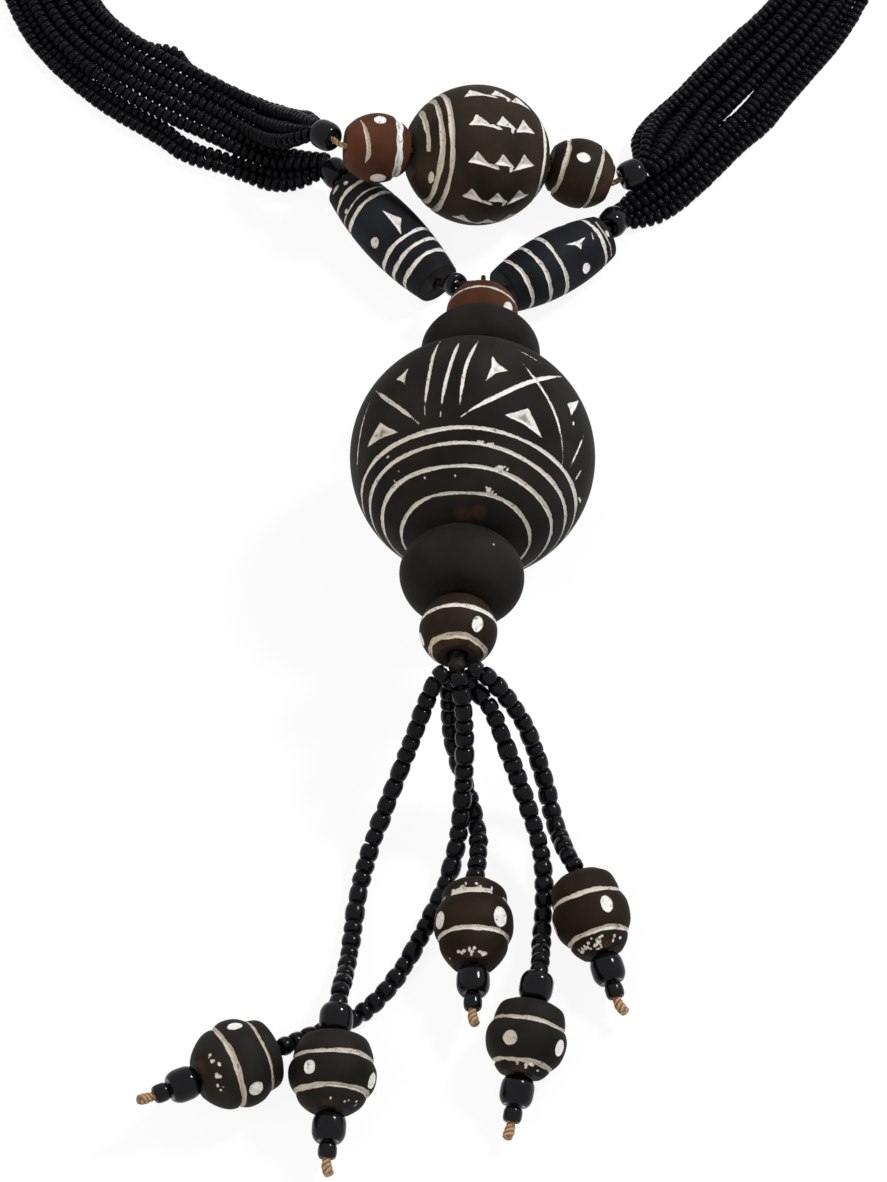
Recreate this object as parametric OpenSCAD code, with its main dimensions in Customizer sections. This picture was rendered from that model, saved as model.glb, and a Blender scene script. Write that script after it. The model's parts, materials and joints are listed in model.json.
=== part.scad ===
// Necklace of incised clay beads: a crossbar of three beads, two tube beads that carry a pendant
// stack with one large focal bead, five tassels, and a neck loop of twelve seed-bead strands.
// It lies on a flat surface at z = 0, tassels towards -Y and the back of the neck loop towards +Y.

/* [Crossbar beads] */
// Greatest diameter of the left crossbar bead
left_bar_d = 12.2; // [9:0.1:15]
// Length of the left crossbar bead along its bore
left_bar_len = 11; // [8:0.1:14]
// Greatest diameter of the barrel bead in the middle of the crossbar
barrel_d = 24.6; // [20:0.1:30]
// Length of the barrel bead along its bore
barrel_len = 23.6; // [19:0.1:29]
// Diameter of the barrel bead's end faces
barrel_end_d = 10; // [8:0.1:13]
// Greatest diameter of the right crossbar bead
right_bar_d = 12.4; // [9:0.1:15]
// Length of the right crossbar bead along its bore
right_bar_len = 11.2; // [8:0.1:14]

/* [Tube beads] */
// Greatest diameter of the left tube bead
left_tube_d = 11; // [9:0.1:13.5]
// Length of the left tube bead along its bore
left_tube_len = 26.4; // [22:0.1:32]
// Greatest diameter of the right tube bead
right_tube_d = 11.2; // [9:0.1:13.5]
// Length of the right tube bead along its bore
right_tube_len = 21.6; // [18:0.1:26]
// Diameter of the tube beads' end faces
tube_end_d = 8; // [6.5:0.1:8.8]

/* [Pendant beads] */
// Diameter of the large focal bead
focal_d = 40; // [33:0.5:48]
// Length of the focal bead along its bore
focal_len = 38.4; // [32:0.1:46]
// Diameter of the flats round the focal bead's bore
focal_end_d = 11.2; // [9:0.1:14]
// Diameter of the plain disc beads above and below the focal bead
disc_d = 20; // [16:0.1:24]
// Length of the upper disc bead along its bore
upper_disc_len = 9.2; // [7:0.1:11]
// Length of the lower disc bead along its bore
lower_disc_len = 10.4; // [8:0.1:12.5]
// Diameter of the disc beads' end faces
disc_end_d = 10; // [8:0.1:12]
// Greatest diameter of the cap bead at the top of the pendant
cap_d = 12.2; // [10:0.1:14.5]
// Length of the cap bead along its bore
cap_len = 9.2; // [7:0.1:11]
// Greatest diameter of the end bead that the tassels leave
end_bead_d = 12.4; // [10:0.1:15]
// Length of the end bead along its bore
end_bead_len = 10; // [8:0.1:12]

/* [Tassel beads] */
// Greatest diameter of each tassel's clay bead
tassel_bead_d = [13.6, 13.8, 12.4, 12.6, 12.2]; // [10:0.1:16]
// Length of each tassel's clay bead along its bore
tassel_bead_len = [12, 12.6, 14, 11.4, 13.2]; // [9:0.1:17]
// Diameter of the end faces of all the small clay beads
small_end_d = 6.4; // [5:0.1:8]

/* [Glass beads] */
// Diameter of the seed beads on the tassels
seed_d = 2.8; // [2.2:0.05:2.9]
// Spacing of the seed beads along a tassel
seed_pitch = 2.65; // [2:0.05:3.2]
// Diameter of the large glass beads that stop the cords
stop_d = 5.2; // [4.2:0.1:6.2]
// Length of the large glass beads along their bore
stop_len = 4.4; // [3.6:0.1:5.3]
// Diameter of the small glass bead at each tassel's tip
tip_bead_d = 2.9; // [2.4:0.05:3.5]
// Length of the small glass bead at each tassel's tip
tip_bead_len = 2.2; // [1.8:0.05:2.7]

/* [Cords] */
// Diameter of the waxed cord in the crossbar, the tubes and the tassels
cord_d = 1; // [0.8:0.05:1.2]
// Diameter of the bundle of cords through the pendant beads
pendant_cord_d = 2.6; // [2:0.1:3.1]
// Diameter of the knot under the end bead
root_knot_d = 2.8; // [2.3:0.1:3.4]
// Length of cord left past each tassel's last bead
tail_len = 3.4; // [2.8:0.1:4.1]

/* [Neck strands] */
// Diameter of a strand of neck seed beads
strand_d = 2; // [1.6:0.05:2.05]
// Spacing of the strands side by side
strand_pitch = 2.4; // [2.35:0.05:2.9]
// Length over which the strands draw together to a gathering bead
gather_len = 7; // [5.8:0.1:8.4]
// Diameter of one thread where it enters a gathering bead
thread_d = 0.5; // [0.4:0.05:0.6]

/* [Fits] */
// Gap between a cord and the bore round it
bore_gap = 0.3; // [0.25:0.05:0.4]
// Gap between neighbours on one cord
string_gap = 0.3; // [0.25:0.05:0.4]
// Width of an incised ring
ring_w = 0.7; // [0.5:0.05:0.9]
// Depth of an incised ring
ring_depth = 0.3; // [0.2:0.05:0.4]

/* [Hidden] */
TASSELS = 5;
LOWER_STRANDS = 7;
UPPER_STRANDS = 5;
STRANDS = LOWER_STRANDS + UPPER_STRANDS;

CLAY_BLACK = "#2b2724";
CLAY_BROWN = "#5a3a2c";
GLASS_BLACK = "#101114";
CORD_TAN = "#a98d6c";

BEAD_FN = 64;
SIDE_STEPS = 28;
CORD_SIDES = 8;
STRAND_SIDES = 6;
FLOOR_GAP = 0.05;
// Length that a cord runs on past a bore before it turns.
RUN_ON = 0.9;

// Directions are given as a bearing in the plane of the table and a rise out of it, in degrees.
function heading(bearing, rise) =
    [cos(rise) * cos(bearing), cos(rise) * sin(bearing), sin(rise)];
function unit(v) = v / norm(v);
function mix(a, b, t) = a + (b - a) * t;
function last(v) = v[len(v) - 1];
function ease(t) = let (u = min(1, max(0, t))) u * u * (3 - 2 * u);

// A bead's side is one arc: greatest radius at the middle, end radius at both end faces.
function arc_radius(l, d, e) = (l * l / 4 + (d - e) * (d - e) / 4) / (d - e);
function bead_radius(l, d, e, t) =
    let (a = arc_radius(l, d, e)) d / 2 - a + sqrt(a * a - t * t);

// Height of a bead's middle when it rests on the table with its bore at the given rise.
function rest_height(l, d, e, rise) = FLOOR_GAP + max([for (i = [-8:8])
    let (t = i * l / 16) bead_radius(l, d, e, t) * cos(rise) + t * sin(rise)]);

// Room that two neighbours on a cord need where it bends between their end faces.
function bend_gap(u, v, e) = string_gap + e * sqrt((1 - u * v) / (1 + u * v));

bar_bore = cord_d + 2 * bore_gap;
pendant_bore = pendant_cord_d + 2 * bore_gap;

// Crossbar, strung from left to right through the barrel bead.
LEFT_BAR_DIR = heading(4, -11);
BARREL_RISE = -14.5;
BARREL_DIR = heading(7, BARREL_RISE);
RIGHT_BAR_DIR = heading(-11, -17.5);
barrel_c = [5.8, -3.3, rest_height(barrel_len, barrel_d, barrel_end_d, BARREL_RISE)];
barrel_start = barrel_c - BARREL_DIR * barrel_len / 2;
barrel_end = barrel_c + BARREL_DIR * barrel_len / 2;
left_bar_end = barrel_start
    - LEFT_BAR_DIR * bend_gap(LEFT_BAR_DIR, BARREL_DIR, (small_end_d + barrel_end_d) / 2);
left_bar_c = left_bar_end - LEFT_BAR_DIR * left_bar_len / 2;
left_bar_start = left_bar_end - LEFT_BAR_DIR * left_bar_len;
right_bar_start = barrel_end
    + RIGHT_BAR_DIR * bend_gap(RIGHT_BAR_DIR, BARREL_DIR, (small_end_d + barrel_end_d) / 2);
right_bar_c = right_bar_start + RIGHT_BAR_DIR * right_bar_len / 2;
right_bar_end = right_bar_start + RIGHT_BAR_DIR * right_bar_len;

// The left tube lies on the table just under the left crossbar bead, near its own upper end.
LEFT_TUBE_BEARING = -53;
LEFT_TUBE_DIR = heading(LEFT_TUBE_BEARING, 0);
LEFT_TUBE_OUT = heading(LEFT_TUBE_BEARING - 90, 0);
LEFT_TUBE_STATION = 10;
LEFT_TUBE_CLEAR = 1;
left_tube_z = left_tube_d / 2 + FLOOR_GAP;
left_tube_reach = left_bar_d / 2 + LEFT_TUBE_CLEAR
    + bead_radius(left_tube_len, left_tube_d, tube_end_d, LEFT_TUBE_STATION);
left_tube_side = sqrt(max(0, left_tube_reach * left_tube_reach
    - (left_bar_c.z - left_tube_z) * (left_bar_c.z - left_tube_z)));
left_tube_c = [left_bar_c.x, left_bar_c.y, left_tube_z]
    + LEFT_TUBE_OUT * left_tube_side + LEFT_TUBE_DIR * LEFT_TUBE_STATION;
left_tube_start = left_tube_c - LEFT_TUBE_DIR * left_tube_len / 2;
left_tube_end = left_tube_c + LEFT_TUBE_DIR * left_tube_len / 2;

RIGHT_TUBE_RISE = 4;
RIGHT_TUBE_DIR = heading(-143, RIGHT_TUBE_RISE);
right_tube_c = [19, -22.2, rest_height(right_tube_len, right_tube_d, tube_end_d, RIGHT_TUBE_RISE)];
right_tube_start = right_tube_c - RIGHT_TUBE_DIR * right_tube_len / 2;
right_tube_end = right_tube_c + RIGHT_TUBE_DIR * right_tube_len / 2;

// Pendant stack: the focal bead rests on the table and the others follow from it along the cord.
UPPER_DIR = heading(-92, 9);
FOCAL_DIR = heading(-94, 9);
END_DIR = heading(-92, 3);
MOUTH_GAP = 1.7;
focal_c = [4.7, -73.2, focal_d / 2 + FLOOR_GAP];
focal_start = focal_c - FOCAL_DIR * focal_len / 2;
focal_end = focal_c + FOCAL_DIR * focal_len / 2;
upper_disc_end = focal_start
    - UPPER_DIR * bend_gap(UPPER_DIR, FOCAL_DIR, (disc_end_d + focal_end_d) / 2);
upper_disc_c = upper_disc_end - UPPER_DIR * upper_disc_len / 2;
cap_end = upper_disc_end - UPPER_DIR * (upper_disc_len + string_gap);
cap_c = cap_end - UPPER_DIR * cap_len / 2;
cap_start = cap_end - UPPER_DIR * cap_len;
lower_disc_start = focal_end + FOCAL_DIR * MOUTH_GAP;
lower_disc_c = lower_disc_start + FOCAL_DIR * lower_disc_len / 2;
lower_disc_end = lower_disc_start + FOCAL_DIR * lower_disc_len;
end_bead_start = lower_disc_end
    + END_DIR * bend_gap(FOCAL_DIR, END_DIR, (disc_end_d + small_end_d) / 2);
end_bead_c = end_bead_start + END_DIR * end_bead_len / 2;
end_bead_end = end_bead_start + END_DIR * end_bead_len;

// The pendant hangs by a loop of cord round the middle of the hanger cord.
loop_r = cord_d + bore_gap;
loop_neck = 1.2;
LOOP_SINK = 0.6;
junction = cap_start - UPPER_DIR * (loop_neck + loop_r + cord_d / 2);
JUNCTION_HALF = 2.2;
junction_left = junction - [JUNCTION_HALF, 0, 0];
junction_right = junction + [JUNCTION_HALF, 0, 0];
junction_run = left_tube_end + LEFT_TUBE_DIR * RUN_ON;
junction_bead_c = mix(junction_run, junction_left, 0.5);
junction_bead_dir = unit(junction_left - junction_run);
junction_bead_d = 4.2;
junction_bead_len = 2.6;

// Glass beads are short cylinders rounded off by a sphere, so their end faces are smaller.
GLASS_ROUND = 1.16;
function glass_end(l, d) = let (r = max(d, l) * GLASS_ROUND / 2) min(d / 2, sqrt(r * r - l * l / 4));

// Gathering beads lie at the outer ends of the crossbar and of the tubes; each has the way the
// cord leaves its clay bead, the way its own bore points, and the bare cord between the two.
LEFT_BAR_GATHER = heading(137, -14);
LEFT_TUBE_GATHER = heading(124, 2);
RIGHT_BAR_GATHER = heading(24, 6);
RIGHT_TUBE_GATHER = heading(66, -18);
LEFT_TUBE_SLACK = 1.2;
RIGHT_TUBE_SLACK = 1.4;
MOUTH_SHOULDER = 1.2;
mouth_step = stop_d / 2 - MOUTH_SHOULDER;
gather_end = glass_end(stop_len, stop_d);
function gather_face(pole, out, d, e, slack) = pole + d * (slack + bend_gap(out, d, e / 2 + gather_end));
left_bar_gather_p = gather_face(left_bar_start, -LEFT_BAR_DIR, LEFT_BAR_GATHER, small_end_d, 0);
left_tube_gather_p = gather_face(left_tube_start, -LEFT_TUBE_DIR, LEFT_TUBE_GATHER, tube_end_d,
    LEFT_TUBE_SLACK);
right_bar_gather_p = gather_face(right_bar_end, RIGHT_BAR_DIR, RIGHT_BAR_GATHER, small_end_d, 0);
right_tube_gather_p = gather_face(right_tube_start, -RIGHT_TUBE_DIR, RIGHT_TUBE_GATHER, tube_end_d,
    RIGHT_TUBE_SLACK);
function gather_mouth(p, d) = p + d * (stop_len + mouth_step);
function cord_stop(p, d) = p + d * (stop_len + 0.2);

SEED_GAP = 0.42;
seed_end = glass_end(seed_pitch - SEED_GAP, seed_d);

// Tassels: where each clay bead lies, the way its bore points, and its incised rings.
TASSEL_XY = [[-16.7, -177], [-31.2, -175.6], [4.7, -151.7], [12.6, -171.1], [22.8, -149.7]];
TASSEL_BEARING = [-93, -154, -91, -101, -74];
TASSEL_RISE = [-8.5, 6.5, -1, -14, -10.5];
TASSEL_RINGS = [[-1.8, 3.6], [-3.6, 1.6], [-3.6, 3.2], [-1.9, 4.4], [-2, 4.4]];
TOP_STOP = [1, 0, 0, 1, 0];
function tassel_dir(i) = heading(TASSEL_BEARING[i], TASSEL_RISE[i]);
function tassel_c(i) = [TASSEL_XY[i].x, TASSEL_XY[i].y,
    rest_height(tassel_bead_len[i], tassel_bead_d[i], small_end_d, TASSEL_RISE[i])];
function tassel_start(i) = tassel_c(i) - tassel_dir(i) * tassel_bead_len[i] / 2;
function tassel_end(i) = tassel_c(i) + tassel_dir(i) * tassel_bead_len[i] / 2;
function seeds_end(i) = let (u = unit(tassel_start(i) - last(TASSEL_ROUTES[i])),
        e = seed_end + (TOP_STOP[i] == 1 ? gather_end : small_end_d / 2))
    tassel_start(i) - tassel_dir(i) * (bend_gap(u, tassel_dir(i), e) + string_gap
        + TOP_STOP[i] * (stop_len + string_gap));

// Tassel routes from the root to the clay bead, laid out for a root at ROOT_LAID.
ROOT_LAID = [1.7, -116.5, 25.7];
root = end_bead_end + END_DIR * (root_knot_d / 2 + string_gap);
ROOT_FADE = 4;
TASSEL_ROUTES = [
    [[-1.3, -118, 25.4], [-3, -120.6, 21.6], [-5.2, -124.4, 16], [-8.5, -130, 8.5],
     [-11.5, -136.5, 3.4], [-13.5, -144.5, 1.7], [-14.2, -151, 1.6], [-14.8, -156, 2.6],
     [-15.3, -160.5, 5.2], [-15.8, -163.6, 7.6]],
    [[2, -119.2, 26.8], [2.8, -122.4, 22.4], [3.1, -126.5, 14.8], [2.8, -131, 8.4],
     [2, -136.5, 3.6], [0.2, -142.5, 1.8], [-3, -150, 1.6], [-6.5, -157, 1.6],
     [-10, -162, 1.6], [-14, -165.5, 1.6], [-18, -167.6, 2.2], [-21.5, -170.2, 4.4]],
    [[0.4, -118, 22.8], [0.6, -119.6, 18], [1.2, -122, 12.4], [2.7, -125.2, 7.9],
     [4.3, -129, 5.1], [5.4, -134, 4.3], [5.4, -139, 5.4]],
    [[4.1, -118.4, 22.4], [6.9, -121, 21], [9, -124.6, 17.4], [11.2, -128, 12.6],
     [13.2, -132, 8.8], [15, -137.5, 6.6], [15.7, -143, 5], [15.5, -148, 3.6],
     [15.2, -152, 3.8], [15, -156, 5.8], [14.8, -158.8, 7.8]],
    [[5.6, -117.6, 25.6], [7.8, -118.4, 23.4], [10.2, -119.8, 20.2], [12.6, -121.4, 16.2],
     [14.6, -123.8, 11], [16.2, -127, 6.4], [17.3, -131, 3.6], [18.4, -135.5, 4.6],
     [19.4, -139.6, 6.8]]];
function tassel_route(i) = concat(
    [for (j = [0:len(TASSEL_ROUTES[i]) - 1])
        TASSEL_ROUTES[i][j] + (root - ROOT_LAID) * max(0, 1 - j / ROOT_FADE)],
    [seeds_end(i)]);

// A smooth curve through hand-laid points, and points spaced evenly along a curve.
CURVE_STEPS = 10;
function spline(a, b, c, d, t) = 0.5 * (2 * b + (c - a) * t
    + (2 * a - 5 * b + 4 * c - d) * t * t + (3 * b - 3 * c + d - a) * t * t * t);
function curve(p) = let (n = len(p) - 1, q = concat([2 * p[0] - p[1]], p, [2 * p[n] - p[n - 1]]))
    concat([for (i = [0:n - 1]) for (j = [0:CURVE_STEPS - 1])
        spline(q[i], q[i + 1], q[i + 2], q[i + 3], j / CURVE_STEPS)], [p[n]]);
function travelled(p) = [for (i = 0, s = 0; i < len(p);
    s = s + (i + 1 < len(p) ? norm(p[i + 1] - p[i]) : 0), i = i + 1) s];
function table(p, s, axis) = [for (i = [0:len(p) - 1]) [s[i], p[i][axis]]];
function spaced(p, pitch) = let (s = travelled(p), n = round(last(s) / pitch),
        x = table(p, s, 0), y = table(p, s, 1), z = table(p, s, 2))
    [for (i = [0:n]) let (d = last(s) * i / n) [lookup(d, x), lookup(d, y), lookup(d, z)]];

// Neck loop: the middle line of the bundle from the left gathering to the right one, laid out for
// crossbar mouths at LEFT_LAID and RIGHT_LAID. Its ends follow those mouths where they move.
LEFT_LAID = [-23.1, 0.3, 15.4];
RIGHT_LAID = [36.5, -1, 6.4];
NECK_FADE = 5;
NECK_ROUTE = [[-22, 5.5], [-30, 8], [-44.5, 15], [-60, 26], [-70, 38], [-76, 56], [-77, 78],
    [-74, 106], [-65, 134], [-50, 158], [-28, 178], [0, 185], [28, 178], [50, 158], [65, 134],
    [74, 106], [77, 78], [75, 58], [68, 40], [57, 25], [49, 15], [42, 6.5], [35, -1.5]];
NECK_LAST = len(NECK_ROUTE) - 1;
left_shift = gather_mouth(left_bar_gather_p, LEFT_BAR_GATHER) - LEFT_LAID;
right_shift = gather_mouth(right_bar_gather_p, RIGHT_BAR_GATHER) - RIGHT_LAID;
function neck_shift(j) = left_shift * max(0, 1 - j / NECK_FADE)
    + right_shift * max(0, 1 - (NECK_LAST - j) / NECK_FADE);
neck_line = curve([for (j = [0:NECK_LAST]) let (p = NECK_ROUTE[j], q = neck_shift(j))
    [p.x + q.x, p.y + q.y, 0]]);
neck_s = travelled(neck_line);
neck_len = last(neck_s);
neck_x = table(neck_line, neck_s, 0);
neck_y = table(neck_line, neck_s, 1);
function neck_at(s) = [lookup(s, neck_x), lookup(s, neck_y), 0];
function neck_way(s) = unit(neck_at(min(neck_len, s + 1)) - neck_at(max(0, s - 1)));
function neck_out(s) = let (t = neck_way(s)) [-t.y, t.x, 0];

// Each strand's place across the bundle: seven lie on the table and five ride in their grooves.
function strand_row(k) = k <= LOWER_STRANDS ? 0 : 1;
function strand_col(k) = k <= LOWER_STRANDS ? k - (LOWER_STRANDS + 1) / 2
    : k - LOWER_STRANDS - (LOWER_STRANDS - 1) / 2 - 0.5;
STRAND_REST = 0.2;
lower_z = strand_d / 2 + FLOOR_GAP;
strand_rise = sqrt(pow(strand_d + STRAND_REST, 2) - strand_pitch * strand_pitch / 4);
function strand_z(k) = lower_z + strand_row(k) * strand_rise;

// Near the gatherings the bundle loosens, so that the outer strands stand off a little. Each row
// has the distance from an end (negative from the right), its reach, the first strand and the shift.
LOOSE = [[27, 13, 2, 2.6], [32, 12, -3, -1.4], [-27, 11, 1, 2]];
function apart(s, l) = let (c = l[0] > 0 ? l[0] : neck_len + l[0]) exp(-pow((s - c) / l[1], 2)) * l[3];
function loosened(k, l) = l[2] > 0 ? strand_col(k) >= l[2] : strand_col(k) <= l[2];
function strand_across(k, s) = strand_col(k) * strand_pitch
    + [for (l = LOOSE) loosened(k, l) ? apart(s, l) : 0] * [1, 1, 1];

// Half of the strands go to the crossbar and half to the tube at each end. They leave the mouth
// of its gathering bead in the same order, drawn together, and fan out into their places.
BAR_COL = -0.5;
BAR_MIDDLE = -1.75;
TUBE_MIDDLE = 1.4;
LEFT_BAR_FAN = heading(128, -36);
LEFT_TUBE_FAN = heading(172, -22);
RIGHT_BAR_FAN = heading(80, -8);
RIGHT_TUBE_FAN = heading(30, -28);
BLEND_LEN = 20;
THREAD_SQUEEZE = 0.34;
function to_bar(k) = strand_col(k) <= BAR_COL;
function end_point(k, left) = to_bar(k)
    ? (left ? gather_mouth(left_bar_gather_p, LEFT_BAR_GATHER)
            : gather_mouth(right_bar_gather_p, RIGHT_BAR_GATHER))
    : (left ? gather_mouth(left_tube_gather_p, LEFT_TUBE_GATHER)
            : gather_mouth(right_tube_gather_p, RIGHT_TUBE_GATHER));
function end_fan(k, left) = to_bar(k) ? (left ? LEFT_BAR_FAN : RIGHT_BAR_FAN)
    : (left ? LEFT_TUBE_FAN : RIGHT_TUBE_FAN);
function gathered(k, s) = let (left = s < neck_len / 2, e = left ? s : neck_len - s,
        d = end_fan(k, left), n = neck_out(s), u = unit(n - d * (n * d)), w = cross(d, u),
        v = w.z < 0 ? -w : w, g = mix(THREAD_SQUEEZE, 1, min(1, e / gather_len)),
        a = strand_col(k) - (to_bar(k) ? BAR_MIDDLE : TUBE_MIDDLE))
    above_table(end_point(k, left) + d * e + u * a * strand_pitch * g
        + v * (strand_row(k) - 0.5) * strand_rise * g,
        FLOOR_GAP + strand_radius(s) + strand_row(k) * strand_rise * g);
function above_table(p, z) = [p.x, p.y, max(p.z, z)];
function strand_point(k, s) = let (e = min(s, neck_len - s))
    mix(gathered(k, s), neck_at(s) + neck_out(s) * strand_across(k, s) + [0, 0, strand_z(k)],
        ease((e - 2) / BLEND_LEN));
function strand_radius(s) =
    mix(thread_d, strand_d, min(1, min(s, neck_len - s) / gather_len)) / 2;
END_STATIONS = [0, 3.5, 7, 10, 13, 17, 21, 25, 29, 34, 40];
MIDDLE_STATIONS = 24;
neck_stations = concat(END_STATIONS,
    [for (i = [1:MIDDLE_STATIONS]) mix(last(END_STATIONS), neck_len - last(END_STATIONS),
        i / (MIDDLE_STATIONS + 1))],
    [for (i = [1:len(END_STATIONS)]) neck_len - END_STATIONS[len(END_STATIONS) - i]]);

// Set a piece that is drawn along +Z at a place, with its axis along a direction.
module along(p, d) {
    translate(p) rotate([0, acos(d.z), atan2(d.y, d.x)]) children();
}

// A turned bead with a true bore, and rings cut square to its side at the given places along its bore.
module bead(l, d, e, bore, rings = []) {
    a = arc_radius(l, d, e);
    half_turn = asin(l / 2 / a);
    side = [for (i = [0:SIDE_STEPS]) let (g = half_turn * (2 * i / SIDE_STEPS - 1))
        [d / 2 - a + a * cos(g), a * sin(g)]];
    rotate_extrude($fn = BEAD_FN) difference() {
        polygon(concat([[bore / 2, -l / 2]], side, [[bore / 2, l / 2]]));
        for (t = rings) translate([d / 2 - a, 0]) rotate(asin(t / a))
            translate([a - ring_depth, -ring_w / 2]) square([2 * ring_depth, ring_w]);
    }
}

// A glass bead with its bore.
module glass_bead(l, d, bore) {
    difference() {
        intersection() {
            cylinder(h = l, d = d, center = true, $fn = 40);
            sphere(d = max(d, l) * GLASS_ROUND, $fn = 40);
        }
        cylinder(h = l + 1, d = bore, center = true, $fn = 32);
    }
}

// A cord swept through points, with one radius for each point.
module swept(p, r, sides) {
    n = len(p);
    way = [for (i = [0:n - 1]) unit(p[min(i + 1, n - 1)] - p[max(i - 1, 0)])];
    ring = [for (i = [0:n - 1]) let (u = unit(cross([0, 0, 1], way[i])), v = cross(way[i], u))
        for (j = [0:sides - 1]) p[i] + (u * cos(360 * j / sides) + v * sin(360 * j / sides)) * r[i]];
    side = [for (i = [0:n - 2]) for (j = [0:sides - 1])
        let (a = i * sides + j, b = i * sides + (j + 1) % sides)
        for (f = [[a, a + sides, b + sides], [a, b + sides, b]]) f];
    first_cap = [for (j = [1:sides - 2]) [0, j, j + 1]];
    last_cap = [for (j = [1:sides - 2]) let (a = (n - 1) * sides) [a, a + j + 1, a + j]];
    polyhedron(points = ring, faces = concat(side, first_cap, last_cap));
}
function even(p, d) = [for (i = p) d / 2];

module left_bar_bead() {
    color(CLAY_BROWN) along(left_bar_c, LEFT_BAR_DIR)
        bead(left_bar_len, left_bar_d, small_end_d, bar_bore, [3.8]);
}
module barrel_bead() {
    color(CLAY_BLACK) along(barrel_c, BARREL_DIR)
        bead(barrel_len, barrel_d, barrel_end_d, bar_bore, [-10.8, -8.9, -7.4, 10.2]);
}
module right_bar_bead() {
    color(CLAY_BLACK) along(right_bar_c, RIGHT_BAR_DIR)
        bead(right_bar_len, right_bar_d, small_end_d, bar_bore, [-3.6, 2.8]);
}
module left_tube_bead() {
    color(CLAY_BLACK) along(left_tube_c, LEFT_TUBE_DIR)
        bead(left_tube_len, left_tube_d, tube_end_d, bar_bore, [-10, -7.3, -5.5, 4.7, 7.2, 9.8]);
}
module right_tube_bead() {
    color(CLAY_BLACK) along(right_tube_c, RIGHT_TUBE_DIR)
        bead(right_tube_len, right_tube_d, tube_end_d, bar_bore, [-8.2, 1.2, 4.6, 8.2]);
}
module cap_bead() {
    color(CLAY_BROWN) along(cap_c, UPPER_DIR)
        bead(cap_len, cap_d, small_end_d, pendant_bore, [-0.3]);
}
module upper_disc_bead() {
    color(CLAY_BLACK) along(upper_disc_c, UPPER_DIR)
        bead(upper_disc_len, disc_d, disc_end_d, pendant_bore);
}
module focal_bead() {
    color(CLAY_BLACK) along(focal_c, FOCAL_DIR)
        bead(focal_len, focal_d, focal_end_d, pendant_bore, [10, 12.2, 14.7, 17.2]);
}
module lower_disc_bead() {
    color(CLAY_BLACK) along(lower_disc_c, FOCAL_DIR)
        bead(lower_disc_len, disc_d, disc_end_d, pendant_bore);
}
module end_bead() {
    color(CLAY_BLACK) along(end_bead_c, END_DIR)
        bead(end_bead_len, end_bead_d, small_end_d, pendant_bore, [-0.5, 4.2]);
}

// The tassel clay beads, one on each of the five cords.
module tassel_bead(i) {
    color(CLAY_BLACK) along(tassel_c(i), tassel_dir(i))
        bead(tassel_bead_len[i], tassel_bead_d[i], small_end_d, bar_bore, TASSEL_RINGS[i]);
}

// Glass beads that hold a clay bead on its cord: one large and one small below it, and on two
// of the tassels another large one above it.
stop_step = string_gap + stop_len / 2;
tip_step = 2 * string_gap + stop_len + tip_bead_len / 2;
tail_step = tip_step + tip_bead_len / 2;
module tassel_stop_beads(i) {
    color(GLASS_BLACK) {
        along(tassel_end(i) + tassel_dir(i) * stop_step, tassel_dir(i))
            glass_bead(stop_len, stop_d, bar_bore);
        along(tassel_end(i) + tassel_dir(i) * tip_step, tassel_dir(i))
            glass_bead(tip_bead_len, tip_bead_d, bar_bore);
        if (TOP_STOP[i] == 1)
            along(tassel_start(i) - tassel_dir(i) * stop_step, tassel_dir(i))
                glass_bead(stop_len, stop_d, bar_bore);
    }
}

// Seed beads threaded one after another from the root to the clay bead.
module tassel_seed_beads(i) {
    p = spaced(curve(tassel_route(i)), seed_pitch);
    color(GLASS_BLACK) for (j = [0:len(p) - 2])
        along(mix(p[j], p[j + 1], 0.5), unit(p[j + 1] - p[j]))
            glass_bead(norm(p[j + 1] - p[j]) - SEED_GAP, seed_d, cord_d + 2 * bore_gap);
}

// A tassel's cord from the knot under the end bead to the knotted tail past its last bead.
TAIL_BEND = [[0.5, 0.2], [0.2, 0.6], [0.4, 0.3], [-0.2, 0.4], [0.6, 0.4]];
KNOT_SWELL = 1.4;
module tassel_cord(i) {
    seeds = spaced(curve(tassel_route(i)), seed_pitch);
    first = root + unit(seeds[0] - root) * (root_knot_d / 2 + string_gap);
    tip = tassel_end(i) + tassel_dir(i) * tail_step;
    bend = [TAIL_BEND[i].x, 0, TAIL_BEND[i].y];
    tail = [tip, tip + tassel_dir(i) * tail_len * 0.25,
        tip + tassel_dir(i) * tail_len * 0.6 + bend * 0.3, tip + tassel_dir(i) * tail_len + bend];
    p = concat([first], seeds, [tassel_start(i), tassel_end(i)], tail);
    r = concat(even(concat([first], seeds), cord_d), even([1, 2, 3], cord_d),
        even([1, 2], cord_d * KNOT_SWELL), even([1], cord_d));
    color(CORD_TAN) swept(p, r, CORD_SIDES);
}

// Black glass beads that gather the threads of the neck strands.
module gather_bead(p, d) {
    color(GLASS_BLACK) along(p + d * stop_len / 2, d) glass_bead(stop_len, stop_d, bar_bore);
}
module junction_bead() {
    color(GLASS_BLACK) along(junction_bead_c, junction_bead_dir)
        glass_bead(junction_bead_len, junction_bead_d, bar_bore);
}

// The cord through the crossbar, from one gathering bead to the other.
module bar_cord() {
    p = [cord_stop(left_bar_gather_p, LEFT_BAR_GATHER), left_bar_gather_p - LEFT_BAR_GATHER * 0.2,
        left_bar_start - LEFT_BAR_DIR * RUN_ON, left_bar_end, barrel_start, barrel_end,
        right_bar_start, right_bar_end + RIGHT_BAR_DIR * RUN_ON / 2,
        right_bar_gather_p - RIGHT_BAR_GATHER * 0.2, cord_stop(right_bar_gather_p, RIGHT_BAR_GATHER)];
    color(CORD_TAN) swept(p, even(p, cord_d), CORD_SIDES);
}

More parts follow.
